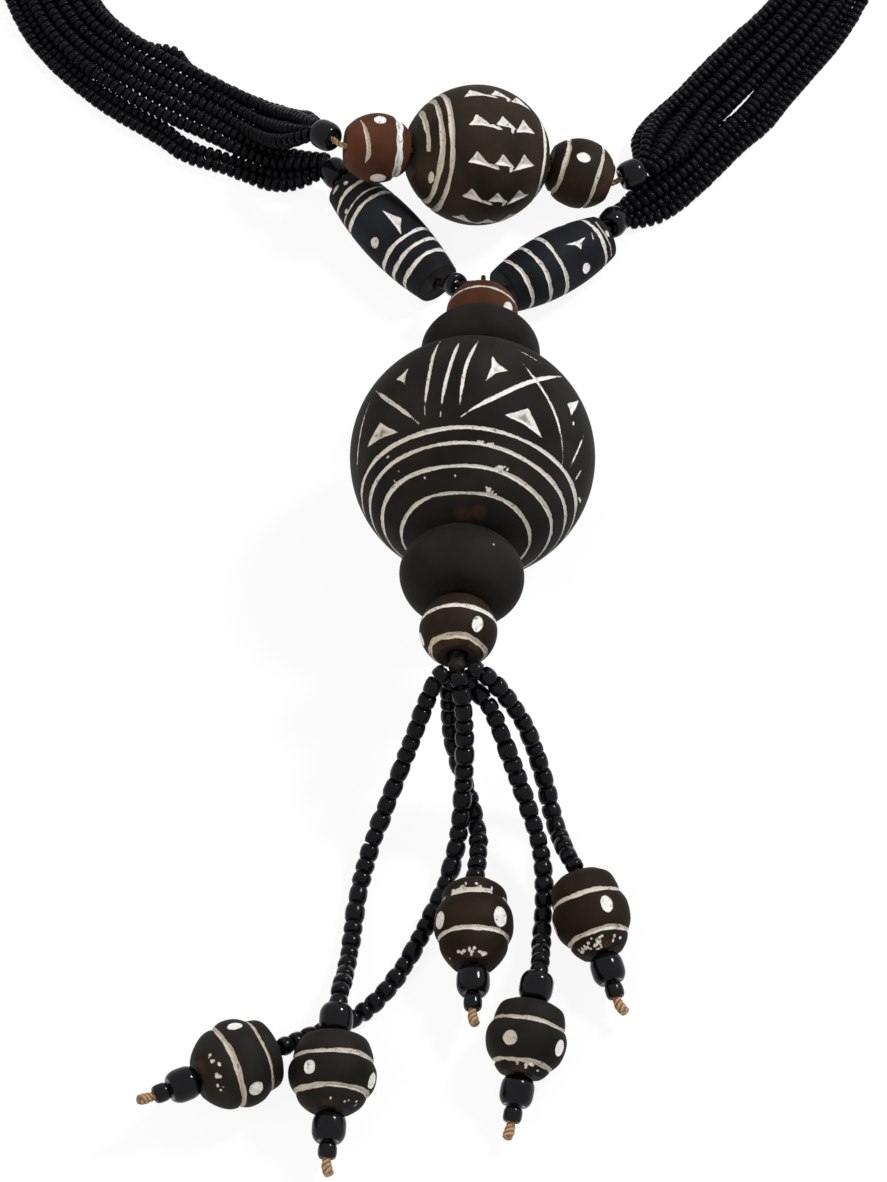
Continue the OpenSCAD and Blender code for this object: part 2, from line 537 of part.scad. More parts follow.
// The cord through both tubes; the pendant's loop hangs on its middle.
module hanger_cord() {
    p = [cord_stop(left_tube_gather_p, LEFT_TUBE_GATHER), left_tube_gather_p - LEFT_TUBE_GATHER * 0.2,
        left_tube_start - LEFT_TUBE_DIR * RUN_ON / 2, left_tube_end + LEFT_TUBE_DIR * RUN_ON,
        junction_left, junction_right, right_tube_end + RIGHT_TUBE_DIR * RUN_ON,
        right_tube_start - RIGHT_TUBE_DIR * RUN_ON, right_tube_gather_p - RIGHT_TUBE_GATHER * 0.2,
        cord_stop(right_tube_gather_p, RIGHT_TUBE_GATHER)];
    color(CORD_TAN) swept(p, even(p, cord_d), CORD_SIDES);
}

// The bundle of cords through the pendant beads, with the loop above and the root knot below.
BEND_SWELL = 1.06;
module stretch(a, b, d) {
    along(a, unit(b - a)) cylinder(h = norm(b - a), d = d, $fn = 32);
}
module pendant_cord() {
    color(CORD_TAN) union() {
        translate(junction) rotate([0, 90, 0]) rotate_extrude($fn = 40)
            translate([loop_r, 0]) circle(d = cord_d, $fn = 20);
        stretch(cap_start - UPPER_DIR * (loop_neck + LOOP_SINK * cord_d), cap_start + UPPER_DIR, cord_d);
        stretch(cap_start + UPPER_DIR * 0.5, focal_start, pendant_cord_d);
        translate(focal_start) sphere(d = pendant_cord_d * BEND_SWELL, $fn = 32);
        stretch(focal_start, lower_disc_end, pendant_cord_d);
        translate(lower_disc_end) sphere(d = pendant_cord_d * BEND_SWELL, $fn = 32);
        stretch(lower_disc_end, root, pendant_cord_d);
        translate(root) sphere(d = root_knot_d, $fn = 32);
    }
}

// One strand of the neck loop, drawn in to its threads at both ends.
module neck_strand(k) {
    color(GLASS_BLACK) swept([for (s = neck_stations) strand_point(k, s)],
        [for (s = neck_stations) strand_radius(s)], STRAND_SIDES);
}

left_bar_bead();
barrel_bead();
right_bar_bead();
left_tube_bead();
right_tube_bead();
cap_bead();
upper_disc_bead();
focal_bead();
lower_disc_bead();
end_bead();
for (i = [1:TASSELS]) tassel_bead(i - 1);
for (i = [1:TASSELS])
    tassel_stop_beads(i - 1);
for (i = [1:TASSELS])
    tassel_seed_beads(i - 1);
for (i = [1:TASSELS]) tassel_cord(i - 1);
gather_bead(left_bar_gather_p, LEFT_BAR_GATHER);  // left_bar_gather_bead
gather_bead(left_tube_gather_p, LEFT_TUBE_GATHER);  // left_tube_gather_bead
gather_bead(right_bar_gather_p, RIGHT_BAR_GATHER);  // right_bar_gather_bead
gather_bead(right_tube_gather_p, RIGHT_TUBE_GATHER);  // right_tube_gather_bead
junction_bead();
bar_cord();
hanger_cord();
pendant_cord();
for (k = [1:STRANDS]) neck_strand(k);
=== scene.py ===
import json
import math

import bmesh
import bpy
import mathutils
import numpy as np
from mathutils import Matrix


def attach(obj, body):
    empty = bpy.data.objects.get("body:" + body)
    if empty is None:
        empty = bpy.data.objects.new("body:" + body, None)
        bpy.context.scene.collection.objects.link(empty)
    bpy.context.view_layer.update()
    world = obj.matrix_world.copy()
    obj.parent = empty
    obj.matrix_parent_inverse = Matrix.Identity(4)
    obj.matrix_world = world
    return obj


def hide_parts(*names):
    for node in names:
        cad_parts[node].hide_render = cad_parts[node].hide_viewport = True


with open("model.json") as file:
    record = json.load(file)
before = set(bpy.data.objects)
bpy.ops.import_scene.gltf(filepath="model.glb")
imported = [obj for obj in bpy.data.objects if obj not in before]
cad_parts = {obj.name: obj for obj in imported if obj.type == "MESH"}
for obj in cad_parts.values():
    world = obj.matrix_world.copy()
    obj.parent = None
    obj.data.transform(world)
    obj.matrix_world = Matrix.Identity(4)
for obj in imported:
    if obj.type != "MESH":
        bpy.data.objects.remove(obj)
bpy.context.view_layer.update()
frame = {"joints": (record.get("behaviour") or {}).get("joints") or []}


# Left crossbar bead: low-fired red-brown clay, rolled by hand round a straw, burnished before
# firing and cut with a knife. Its lines and dots are rubbed with white kaolin slip.
SMALL_END_D = 6.4
CORD_BORE = 1.6
# Depth of each kind of cut, and the width of its sloping wall.
KNIFE_CUT = (0.3, 0.3)
WEDGE_CUT = (0.45, 0.6)
DOT_CUT = (0.14, 0.3)
# How far along the bore the dip about a ring reaches, and where the shoulder lies and how far it
# reaches, as shares of the way from a bead's middle to its end.
DIP_REACH = 1.1
SHOULDER_AT = 0.78
SHOULDER_REACH = 0.18


def unit(v):
    """A vector, or rows of vectors, over its own length."""
    v = np.asarray(v, float)
    return v / np.linalg.norm(v, axis=-1, keepdims=True)


def linear(code):
    """Linear colour of an sRGB hex value: the sRGB curve undone on each channel."""
    srgb = np.array([int(code[i:i + 2], 16) for i in (1, 3, 5)]) / 255
    light = np.where(srgb <= 0.04045, srgb / 12.92, ((srgb + 0.055) / 1.055) ** 2.4)
    return (*map(float, light), 1.0)


def add(tree, kind, inputs=None, **settings):
    """One node with its settings; each input is a value for the socket or a link to it."""
    made = tree.nodes.new(kind)
    for key, value in settings.items():
        setattr(made, key, value)
    for key, value in (inputs or {}).items():
        if isinstance(value, bpy.types.NodeSocket):
            tree.links.new(value, made.inputs[key])
        else:
            made.inputs[key].default_value = value
    return made


def clay(name, deep, warm):
    """Burnished low-fired clay: a dull satin skin, clouded by the smoke of the fire, finely gritty, with
    chalky slip wherever the trait 'edge', the distance from a cut mark's rim in mm, is below zero.
    Clouds are 9 mm wide; the grit, 0.45 mm, and the slip's crumbs, 0.8 mm, are coarsened to show."""
    material = bpy.data.materials.new(name)
    material.use_nodes = True
    tree = material.node_tree
    tree.nodes.clear()
    place = add(tree, "ShaderNodeTexCoord").outputs["Object"]
    cloud = add(tree, "ShaderNodeTexNoise", {"Vector": place, "Scale": 1000 / 9, "Detail": 4}).outputs[0]
    grit = add(tree, "ShaderNodeTexNoise", {"Vector": place, "Scale": 1000 / 0.45, "Detail": 3}).outputs[0]
    crumb = add(tree, "ShaderNodeTexNoise", {"Vector": place, "Scale": 1000 / 0.8, "Detail": 5}).outputs[0]
    edge = add(tree, "ShaderNodeAttribute", attribute_name="edge").outputs["Fac"]
    pale = add(tree, "ShaderNodeAttribute", attribute_name="pale").outputs["Fac"]
    bare = add(tree, "ShaderNodeAttribute", attribute_name="bare").outputs["Fac"]

    # The slip ends in a ragged rim, has fallen out of the groove in places and is rubbed thin in the
    # middle of the wider cuts.
    ragged = add(tree, "ShaderNodeMath", {0: crumb, 1: 0.34, 2: -0.17}, operation="MULTIPLY_ADD")
    ragged = add(tree, "ShaderNodeMath", {0: edge, 1: ragged.outputs[0]}, operation="ADD")
    slip = add(tree, "ShaderNodeMapRange", {"Value": ragged.outputs[0], "From Min": 0.05,
                                            "From Max": -0.09},
               interpolation_type="SMOOTHSTEP").outputs[0]
    kept = add(tree, "ShaderNodeMapRange", {"Value": crumb, "From Min": 0.3, "From Max": 0.42,
                                            "To Min": 0.35}).outputs[0]
    slip = add(tree, "ShaderNodeMath", {0: slip, 1: kept}, operation="MULTIPLY").outputs[0]

    smoke = add(tree, "ShaderNodeMapRange", {"Value": cloud, "From Min": 0.35, "From Max": 0.68}).outputs[0]
    body = add(tree, "ShaderNodeMix", {0: smoke, 6: linear(deep), 7: linear(warm)}, data_type="RGBA")
    raw = add(tree, "ShaderNodeMath", {0: bare, 1: crumb}, operation="MULTIPLY")
    raw = add(tree, "ShaderNodeMapRange", {"Value": raw.outputs[0], "From Min": 0.12, "From Max": 0.5})
    body = add(tree, "ShaderNodeMix", {0: raw.outputs[0], 6: body.outputs[2], 7: linear("#33261C")},
               data_type="RGBA")
    chalk = add(tree, "ShaderNodeMix", {0: pale, 6: linear("#AEA290"), 7: linear("#DAD8D3")},
                data_type="RGBA")
    grime = add(tree, "ShaderNodeMapRange", {"Value": grit, "From Min": 0.25, "From Max": 0.6,
                                             "To Min": 0.6}).outputs[0]
    chalk = add(tree, "ShaderNodeMix", {0: grime, 6: linear("#8C8274"), 7: chalk.outputs[2]},
                data_type="RGBA")
    rubbed = add(tree, "ShaderNodeMapRange", {"Value": edge, "From Min": -0.45, "From Max": -1}).outputs[0]
    rubbed = add(tree, "ShaderNodeMath", {0: rubbed, 1: grime}, operation="MULTIPLY").outputs[0]
    chalk = add(tree, "ShaderNodeMix", {0: rubbed, 6: chalk.outputs[2], 7: linear("#6B6459")},
                data_type="RGBA")
    skin = add(tree, "ShaderNodeMix", {0: slip, 6: body.outputs[2], 7: chalk.outputs[2]}, data_type="RGBA")

    satin = add(tree, "ShaderNodeMapRange", {"Value": grit, "To Min": 0.5, "To Max": 0.68}).outputs[0]
    rough = add(tree, "ShaderNodeMix", {0: slip, 2: satin, 3: 0.9}, data_type="FLOAT").outputs[0]
    lumps = add(tree, "ShaderNodeMath", {0: crumb, 1: 1.6, 2: grit}, operation="MULTIPLY_ADD").outputs[0]
    bump = add(tree, "ShaderNodeBump", {"Height": lumps, "Strength": 0.25, "Distance": 0.00006})
    shader = add(tree, "ShaderNodeBsdfPrincipled", {"Base Color": skin.outputs[2], "Roughness": rough,
                                                    "Normal": bump.outputs[0], "IOR": 1.5,
                                                    "Specular IOR Level": 0.04})
    add(tree, "ShaderNodeOutputMaterial", {"Surface": shader.outputs[0]})
    return material


def curve(points, steps=10):
    """Catmull-Rom curve through points: a cubic between each pair, with mirrored points past the ends."""
    p = np.asarray(points, float)
    p = np.concatenate([[2 * p[0] - p[1]], p, [2 * p[-1] - p[-2]]])
    t = (np.arange(steps) / steps)[:, None]
    a, b, c, d = (p[i:len(p) - 3 + i, None] for i in range(4))
    bends = 0.5 * (2 * b + (c - a) * t + (2 * a - 5 * b + 4 * c - d) * t ** 2
                   + (3 * b - 3 * c + d - a) * t ** 3)
    return np.concatenate([bends.reshape(-1, p.shape[1]), p[-2:-1]])


def piece(name, *parts):
    """One object at the origin from parts (grid, wrap, material, traits). In a grid of points in mm,
    grid[..., i, j] meets i + 1 and j + 1, a wrapped direction closes on itself, and an open end has
    all its points in one place, so that it closes in a pole. Leading axes hold copies."""
    mesh = bpy.data.meshes.new(name)
    points, quads, finish, values, start = [], [], [], {}, 0
    for number, (grid, wrap, material, traits) in enumerate(parts):
        grid = grid.reshape(-1, *grid.shape[-3:])
        index = start + np.arange(grid[..., 0].size).reshape(grid.shape[:3])
        down = np.roll(index, -1, 1)
        faces = np.stack([index, down, np.roll(down, -1, 2), np.roll(index, -1, 2)], -1)
        faces = faces[:, :None if wrap[0] else -1, :None if wrap[1] else -1].reshape(-1, 4)
        points.append(grid.reshape(-1, 3) / 1000)
        quads.append(faces)
        finish.append(np.full(len(faces), number))
        for trait, amount in traits.items():
            values.setdefault(trait, []).append((start, np.asarray(amount, float).reshape(-1)))
        start += index.size
        mesh.materials.append(material)
    mesh.from_pydata(np.concatenate(points).tolist(), [], np.concatenate(quads).tolist())
    mesh.polygons.foreach_set("material_index", np.concatenate(finish))
    for trait, runs in values.items():
        layer = np.zeros(start, np.float32)
        for first, amount in runs:
            layer[first:first + len(amount)] = amount
        mesh.attributes.new(trait, "FLOAT", "POINT").data.foreach_set("value", layer)
    mesh.shade_smooth()
    # A part that doesn't wrap both ways is closed by merging the points of its poles.
    if not all(all(part[1]) for part in parts):
        work = bmesh.new()
        work.from_mesh(mesh)
        bmesh.ops.remove_doubles(work, verts=work.verts, dist=1e-7)
        work.to_mesh(mesh)
        work.free()
    made = bpy.data.objects.new(name, mesh)
    bpy.context.scene.collection.objects.link(made)
    return made


def to_chain(points, chain):
    """Distance from points to a chain of straight pieces, and the share of the chain before it."""
    gap = np.full(points.shape[:-1], 1e9)
    share = np.zeros_like(gap)
    for i in range(len(chain) - 1):
        run = chain[i + 1] - chain[i]
        t = np.clip((points - chain[i]) @ run / (run @ run), 0, 1)
        reach = np.linalg.norm(points - chain[i] - t[..., None] * run, axis=-1)
        share = np.where(reach < gap, (i + t) / (len(chain) - 1), share)
        gap = np.minimum(gap, reach)
    return gap, share


def to_wedge(points, corners):
    """Signed distance to a polygon in the plane of its corners, negative inside, by the crossing
    rule; points further off than the polygon's own size count as outside."""
    middle = corners.mean(0)
    across = unit(corners[1] - corners[0])
    normal = unit(np.cross(across, corners[-1] - corners[0]))
    plane = np.stack([across, np.cross(normal, across)], -1)
    p = (points - middle) @ plane
    q = (corners - middle) @ plane
    gap = np.full(p.shape[:-1], 1e9)
    inside = np.zeros(p.shape[:-1], bool)
    for a, b in zip(q, np.roll(q, -1, 0)):
        run = b - a
        off = p - a
        t = np.clip(off @ run / (run @ run), 0, 1)
        gap = np.minimum(gap, np.linalg.norm(off - t[..., None] * run, axis=-1))
        rises = (p[..., 1] >= a[1]) != (p[..., 1] >= b[1])
        inside ^= rises & (p[..., 0] < a[0] + off[..., 1] * run[0] / (run[1] or 1e-9))
    far = np.linalg.norm(points - middle, axis=-1) - 1.2 * np.linalg.norm(corners - middle, axis=-1).max()
    return np.maximum(np.where(inside, -gap, gap), far)


def clay_bead(name, size, bore, finish, rings=(), lines=(), wedges=(), dots=(), bare=(), dip=0,
              full=0, fine=0.18):
    """A bored bead whose side is one arc turned about its bore, cut by marks that are given as
    distances along the bore from its middle (mm) and turns round it from the top (degrees):
    rings (along, width, tone[, middle turn, half turn]), lines (width, tone, points), wedges
    (tone, pinch, corners), dots (along, turn, length, width, tone) and bare spots (along, turn,
    reach). Each mark sinks the arc along its normal, the clay is drawn in by the dip about each ring,
    and it fills out the shoulder beside the first end. The mesh has a point at about each fine mm.
    Returns both ends of the bore and its axis."""
    d, length, end_d = size
    spin = next(j for j in frame["joints"] if j["name"] == name + "_spin")
    middle = np.array(spin["pos_m"]) * 1000
    axis = unit(spin["axis"])
    up = unit(np.array([0.0, 0.0, 1.0]) - axis * axis[2])
    side = np.cross(axis, up)
    bow = (length ** 2 + (d - end_d) ** 2) / (4 * (d - end_d))
    lean_end = math.atan2(length / 2, bow - (d - end_d) / 2)
    turn, lean = np.meshgrid(np.linspace(0, 2 * math.pi, round(math.pi * d / fine), endpoint=False),
                             np.linspace(-lean_end, lean_end, round(2 * bow * lean_end / fine)),
                             indexing="ij")

    def at(along):
        """Lean of the arc's normal at a distance along the bore."""
        return np.arcsin(np.clip(along / bow, -1, 1))

    def on_side(lean, turn):
        """Point of the turned arc, with the bore along z."""
        out = d / 2 - bow + bow * np.cos(lean)
        return np.stack([out * np.cos(turn), out * np.sin(turn), bow * np.sin(lean)], -1)

    skin = on_side(lean, turn)
    normal = np.stack([np.cos(lean) * np.cos(turn), np.cos(lean) * np.sin(turn), np.sin(lean)], -1)
    marks = []
    drawn_in = np.zeros(turn.shape)
    for along, width, tone, *part in rings:
        drawn_in = np.maximum(drawn_in, dip * np.exp(-(bow * (lean - at(along)) / DIP_REACH) ** 2))
        sway = 0.1 * np.sin(2 * turn + 7 * along) + 0.06 * np.sin(5 * turn + 3 * along)
        swell = 1 + 0.16 * np.sin(3 * turn + 5 * along) + 0.1 * np.sin(11 * turn + along)
        gap = bow * np.abs(lean - at(along + sway)) - width / 2 * swell
        if part:
            off = (turn - math.radians(part[0]) + math.pi) % (2 * math.pi) - math.pi
            gap = np.maximum(gap, (np.abs(off) - math.radians(part[1])) * d / 2)
        marks.append((gap, *KNIFE_CUT, tone))
    for width, tone, points in lines:
        chain = curve(points, 8)
        gap, share = to_chain(skin, on_side(at(chain[:, 0]), np.radians(chain[:, 1])))
        thin = np.clip(np.minimum(share, 1 - share) / 0.25, 0.3, 1)
        marks.append((gap - width / 2 * thin, *KNIFE_CUT, tone))
    for tone, pinch, corners in wedges:
        corners = np.array(corners, float)
        halves = (corners + np.roll(corners, -1, 0)) / 2
        halves += (corners.mean(0) - halves) * pinch
        corners = np.stack([corners, halves], 1).reshape(-1, 2)
        gap = to_wedge(skin, on_side(at(corners[:, 0]), np.radians(corners[:, 1])))
        marks.append((gap, *WEDGE_CUT, tone))
    for along, about, long, wide, tone in dots:
        off = (turn - math.radians(about) + math.pi) % (2 * math.pi) - math.pi
        round_off = np.hypot(2 * bow * (lean - at(along)) / long, off * np.hypot(*skin.T[:2]).T * 2 / wide)
        marks.append((np.maximum((round_off - 1) * min(long, wide) / 2, -0.4), *DOT_CUT, tone))

    edge = np.full(turn.shape, 2.0)
    pale = np.zeros(turn.shape)
    cut = np.zeros(turn.shape)
    for gap, depth, wall, tone in marks:
        pale = np.where(gap < edge, tone, pale)
        edge = np.minimum(edge, gap)
        slope = np.clip(-gap / wall, 0, 1)
        cut = np.maximum(cut, depth * slope * slope * (3 - 2 * slope))
    worn = np.zeros(turn.shape)
    for along, about, reach in bare:
        spot = on_side(np.array(at(along)), np.array(math.radians(about)))
        worn = np.maximum(worn, np.clip(1.4 - 1.4 * np.linalg.norm(skin - spot, axis=-1) / reach, 0, 1))
    uneven = 0.06 + 0.03 * np.sin(2 * turn + length) + 0.03 * np.sin(3 * turn + 4 * lean + d) + drawn_in
    uneven -= full * np.exp(-((lean / lean_end + SHOULDER_AT) / SHOULDER_REACH) ** 2)
    outside = skin - normal * (cut + uneven * np.cos(lean / lean_end * math.pi / 2) ** 0.5)[..., None]

    lip = np.array([[0.03, end_d / 2 - 0.3], [0.05, (end_d + bore) / 4], [0.06, bore / 2 + 0.4],
                    [0.5, bore / 2]])
    inside = np.concatenate([np.stack([length / 2 - lip[:, 0], lip[:, 1]], -1),
                             np.stack([lip[::-1, 0] - length / 2, lip[::-1, 1]], -1)])
    round_in = np.stack([np.cos(turn[:, 0]), np.sin(turn[:, 0])], -1)
    bored = np.concatenate([round_in[:, None] * inside[:, 1:], np.broadcast_to(
        inside[:, :1], (len(round_in), len(inside), 1))], -1)
    local = np.concatenate([outside, bored], 1)
    grid = middle + local @ np.stack([up, side, axis])
    rest = np.ones(bored.shape[:2])
    traits = {"edge": np.concatenate([edge, 2 * rest], 1), "pale": np.concatenate([pale, 0 * rest], 1),
              "bare": np.concatenate([worn, 0.35 * rest], 1)}
    made = piece(name + "_clay", (grid, (True, True), finish, traits))
    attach(made, name + "_body")
    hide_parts(name)
    return middle - axis * length / 2, middle + axis * length / 2, axis


red_clay = clay("red_burnished_clay", "#372015", "#4E2E1F")
left_bar = clay_bead(
    "left_bar_bead", (12.2, 11, SMALL_END_D), CORD_BORE, red_clay,
    rings=[(3.2, 1.5, 0.9)],
    lines=[(0.8, 0.1, [(-3.6, -24), (-2.4, 43), (-2.7, 69)]),
           (0.6, 0.2, [(-3, 130), (-3.2, 180), (-2.8, 240)])],
    dots=[(-0.4, -14, 2.2, 2.2, 1), (0, 101, 2.8, 2.8, 0.7), (-0.2, 216, 2.2, 2.2, 1)])


# Barrel bead: the large bead in the middle of the crossbar, dark brown clay. Rows of knife-cut
# wedges run along it, eleven rows round the bead, between rings turned at its two ends.
BARREL_ROWS = 11
BARREL_TURN = 14
BARREL_WEDGES = [[(-4.8, 1), (-3.4, -9.5), (-0.4, 3.5)], [(-0.2, 1), (1.2, -8.5), (3.8, 3)],
                 [(3.4, 6), (5.3, -9.5), (7.8, 1)]]
BARREL_TAIL = [[(-1.4, 1), (1, 4.5)], [(3.2, 0), (2.9, 7)]]
brown_clay = clay("brown_burnished_clay", "#1E1812", "#2E251C")
row_turns = [BARREL_TURN + 360 / BARREL_ROWS * row for row in range(BARREL_ROWS)]
barrel = clay_bead(
    "barrel_bead", (24.6, 23.6, 10), CORD_BORE, brown_clay, fine=0.22,
    rings=[(-10.8, 1, 0.25, -5, 46), (-8.9, 1, 0.25), (-7.3, 0.9, 0.3), (10.2, 1.2, 0.75)],
    wedges=[(0.8, 0.12, [(along, turn + about) for along, turn in corners])
            for about in row_turns for corners in BARREL_WEDGES],
    lines=[(0.6, 0.8, [(along, turn + about) for along, turn in tail])
           for about in row_turns for tail in BARREL_TAIL],
    dots=[(-9.8, 75, 1.2, 2.4, 0.3)])


# Right crossbar bead: a plainer round bead of the same brown clay, with two rings and a dot. Its
# outer end has lost its burnish and shows the bare clay.
right_bar = clay_bead(
    "right_bar_bead", (12.4, 11.2, SMALL_END_D), CORD_BORE, brown_clay,
    rings=[(-3.7, 0.9, 0.3), (2.5, 0.7, 0.25)],
    dots=[(-1, 11, 2.5, 1.9, 1), (-0.8, 131, 2.3, 2, 0.9), (-0.9, 251, 2.3, 2, 0.9),
          (5, -35, 0.8, 2, 0.1)],
    bare=[(4.6, 5, 3.8), (4.6, 60, 3.2), (4.8, -50, 2.8)])


# Tube beads: two long beads of smoke-blackened clay that hang below the crossbar in a V. Rings at
# both ends frame a band with a cut wedge and dots.
TUBE_END_D = 8
black_clay = clay("smoked_burnished_clay", "#151311", "#211E1B")
blue_clay = clay("blue_smoked_clay", "#121315", "#1D1F22")
left_tube = clay_bead(
    "left_tube_bead", (11, 26.4, TUBE_END_D), CORD_BORE, blue_clay,
    rings=[(-10, 0.72, 0.7), (-7.3, 0.35, 0.5), (-5.5, 0.78, 0.8), (4.7, 0.72, 0.8), (7.2, 0.72, 0.8),
           (9.8, 0.76, 0.8)],
    wedges=[(0.9, 0.15, [(-2.1, 7), (1.4, -11), (4.2, 12)]),
            (0.9, 0.15, [(-2, 187), (1.4, 170), (4, 192)])],
    dots=[(1.2, 60, 1.8, 2.1, 0.5), (1, 128, 1.8, 2, 0.9), (1.2, 245, 1.8, 2, 0.9),
          (-11.6, 20, 0.8, 1, 0.7), (-7.6, 62, 0.7, 1.1, 0.3), (-12.4, 50, 0.6, 2.2, 0.2)])
right_tube = clay_bead(
    "right_tube_bead", (11.2, 21.6, TUBE_END_D), CORD_BORE, blue_clay,
    rings=[(-8.2, 0.72, 0.8), (1.2, 0.7, 0.75), (4.6, 0.72, 0.7), (8.2, 0.72, 0.7),
           (-9.5, 0.3, 0.3, -40, 50)],
    lines=[(0.25, 0.5, [(-7.2, -12), (-6.6, -30)])],
    wedges=[(0.9, 0.45, [(-1.2, -11), (-6, -15), (-3.5, -33)]),
            (0.9, 0.3, [(-1.4, 170), (-6, 166), (-3.5, 148)])],
    dots=[(-4.9, 54, 2, 2.2, 0.8), (-3.2, -71, 1.7, 2.2, 1), (-4, 112, 1.9, 2.2, 0.9),
          (-4, 230, 1.9, 2.2, 0.9), (-10, -30, 0.7, 1.4, 0.3)])


# Gathering beads: four black pressed-glass beads. The threads of the neck strands go into them
# on one side, and the cord of the crossbar or of the tubes is knotted in them on the other.
STOP_D = 5.2
STOP_LEN = 4.4
STRING_GAP = 0.3
GATHER_FACE_R = 2.06


def black_glass(name, rough, haze, shine):
    """Opaque black pressed glass: fire-polished, smooth under a faint film from handling. rough is
    its least roughness, the haze is what the film adds, and shine is the level of its gloss, which
    is low because the worn beads mirror little of the white ground."""
    material = bpy.data.materials.new(name)
    material.use_nodes = True
    tree = material.node_tree
    tree.nodes.clear()
    place = add(tree, "ShaderNodeTexCoord").outputs["Object"]
    film = add(tree, "ShaderNodeTexNoise", {"Vector": place, "Scale": 1000 / 2.5, "Detail": 3}).outputs[0]
    dull = add(tree, "ShaderNodeMapRange", {"Value": film, "From Min": 0.3, "From Max": 0.7,
                                            "To Min": rough, "To Max": rough + haze}).outputs[0]
    tint = add(tree, "ShaderNodeMix", {0: film, 6: linear("#050507"), 7: linear("#0F0F12")},
               data_type="RGBA")
    shader = add(tree, "ShaderNodeBsdfPrincipled", {"Base Color": tint.outputs[2], "Roughness": dull,
                                                    "IOR": 1.52, "Specular IOR Level": shine})
    add(tree, "ShaderNodeOutputMaterial", {"Surface": shader.outputs[0]})
    return material


def heading(bearing, rise):
    """Unit vector from a bearing in the plane of the table and a rise out of it, in degrees."""
    b, r = math.radians(bearing), math.radians(rise)
    return np.array([math.cos(r) * math.cos(b), math.cos(r) * math.sin(b), math.sin(r)])


def threaded(middle, way, length, d, bore, profile, sides):
    """Beads turned about their own bores: a closed profile of (along, out) pairs, along in half
    lengths and out as a share of the way from bore to rim, set at each middle along each way."""
    middle, way = np.atleast_2d(middle), np.atleast_2d(way)
    length, d = (np.broadcast_to(v, len(middle))[:, None, None] for v in (length, d))
    flat = unit(np.cross(way, [0.0, 0.0, 1.0]))
    rise = np.cross(way, flat)
    turn = np.arange(sides) * 2 * math.pi / sides
    ring = np.cos(turn)[:, None] * flat[:, None] + np.sin(turn)[:, None] * rise[:, None]
    along = profile[:, 0] * length / 2
    out = bore / 2 + profile[:, 1] * (d - bore) / 2
    return (middle[:, None, None] + along[..., None] * way[:, None, None]
            + out[..., None] * ring[:, :, None])


glass = black_glass("black_pressed_glass", 0.05, 0.12, 0.14)
swing = np.linspace(-1, 1, 17)
STOP_PROFILE = np.concatenate([np.stack([swing, 1 - 0.4 * np.abs(swing) ** 3.2], -1),
                               [[0.97, 0.3], [0.7, 0], [-0.7, 0], [-0.97, 0.3]]])


def gather_face(pole, out, way, end_d, slack):
    """Near face of a gathering bead: past a clay bead's end by the room that the bend needs."""
    bend = out @ way
    room = (end_d / 2 + GATHER_FACE_R) * math.sqrt((1 - bend) / (1 + bend))
    return pole + way * (slack + STRING_GAP + room)


gather_way = {"left_bar": heading(137, -14), "left_tube": heading(124, 2), "right_bar": heading(24, 6),
              "right_tube": heading(66, -18)}
gather = {
    "left_bar": gather_face(left_bar[0], -left_bar[2], gather_way["left_bar"], SMALL_END_D, 0),
    "left_tube": gather_face(left_tube[0], -left_tube[2], gather_way["left_tube"], TUBE_END_D, 1.2),
    "right_bar": gather_face(right_bar[1], right_bar[2], gather_way["right_bar"], SMALL_END_D, 0),
    "right_tube": gather_face(right_tube[0], -right_tube[2], gather_way["right_tube"], TUBE_END_D, 1.4)}
for name, way in gather_way.items():
    grid = threaded(gather[name] + way * STOP_LEN / 2, way, STOP_LEN, STOP_D, CORD_BORE, STOP_PROFILE, 40)
    bead = piece(name + "_gather_glass", (grid, (True, True), glass, {}))
    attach(bead, "loop")
    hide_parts(name + "_gather_bead")


# Crossbar cord: waxed cotton, three plies laid up to 1 mm, threaded through the three crossbar
# beads and tied off in the gathering bead at each end. A little of it shows beside the beads.
CORD_D = 1.0
CORD_LAY = 2.6
CORD_RUN_ON = 0.9


def waxed_cotton(name, shaded_hollow, crown):
    """Waxed cotton cord: plies with pale crowns and dark hollows from the trait 'ply', the dark hollows
    being painted shade between the plies; a dull wax gloss, and short fibres that are drawn at
    0.3 mm, coarser than real ones, so that they show."""
    material = bpy.data.materials.new(name)
    material.use_nodes = True
    tree = material.node_tree
    tree.nodes.clear()
    place = add(tree, "ShaderNodeTexCoord").outputs["Object"]
    fibre = add(tree, "ShaderNodeTexNoise", {"Vector": place, "Scale": 1000 / 0.3, "Detail": 2}).outputs[0]
    ply = add(tree, "ShaderNodeAttribute", attribute_name="ply").outputs["Fac"]
    # Painted shade: the colour runs from the shaded hollow, in the grooves between the plies where 'ply' is
    # low, to the crown.
    tone = add(tree, "ShaderNodeMath", {0: ply, 1: fibre}, operation="MULTIPLY")
    tone = add(tree, "ShaderNodeMapRange", {"Value": tone.outputs[0], "From Min": 0.05, "From Max": 0.55})
    colour = add(tree, "ShaderNodeMix", {0: tone.outputs[0], 6: linear(shaded_hollow), 7: linear(crown)},
                 data_type="RGBA")
    bump = add(tree, "ShaderNodeBump", {"Height": fibre, "Strength": 0.3, "Distance": 0.0001})
    shader = add(tree, "ShaderNodeBsdfPrincipled", {"Base Color": colour.outputs[2], "Roughness": 0.55,
                                                    "Normal": bump.outputs[0], "IOR": 1.45,
                                                    "Specular IOR Level": 0.15})
    add(tree, "ShaderNodeOutputMaterial", {"Surface": shader.outputs[0]})
    return material


def travelled(path):
    """Distance run along a path up to each of its points."""
    return np.concatenate([[0], np.cumsum(np.linalg.norm(np.diff(path, axis=0), axis=1))])


def spaced(path, count):
    """count + 1 points at even distances along a path."""
    run = travelled(path)
    at = np.linspace(0, run[-1], count + 1)
    return np.stack([np.interp(at, run, path[:, i]) for i in range(3)], -1)


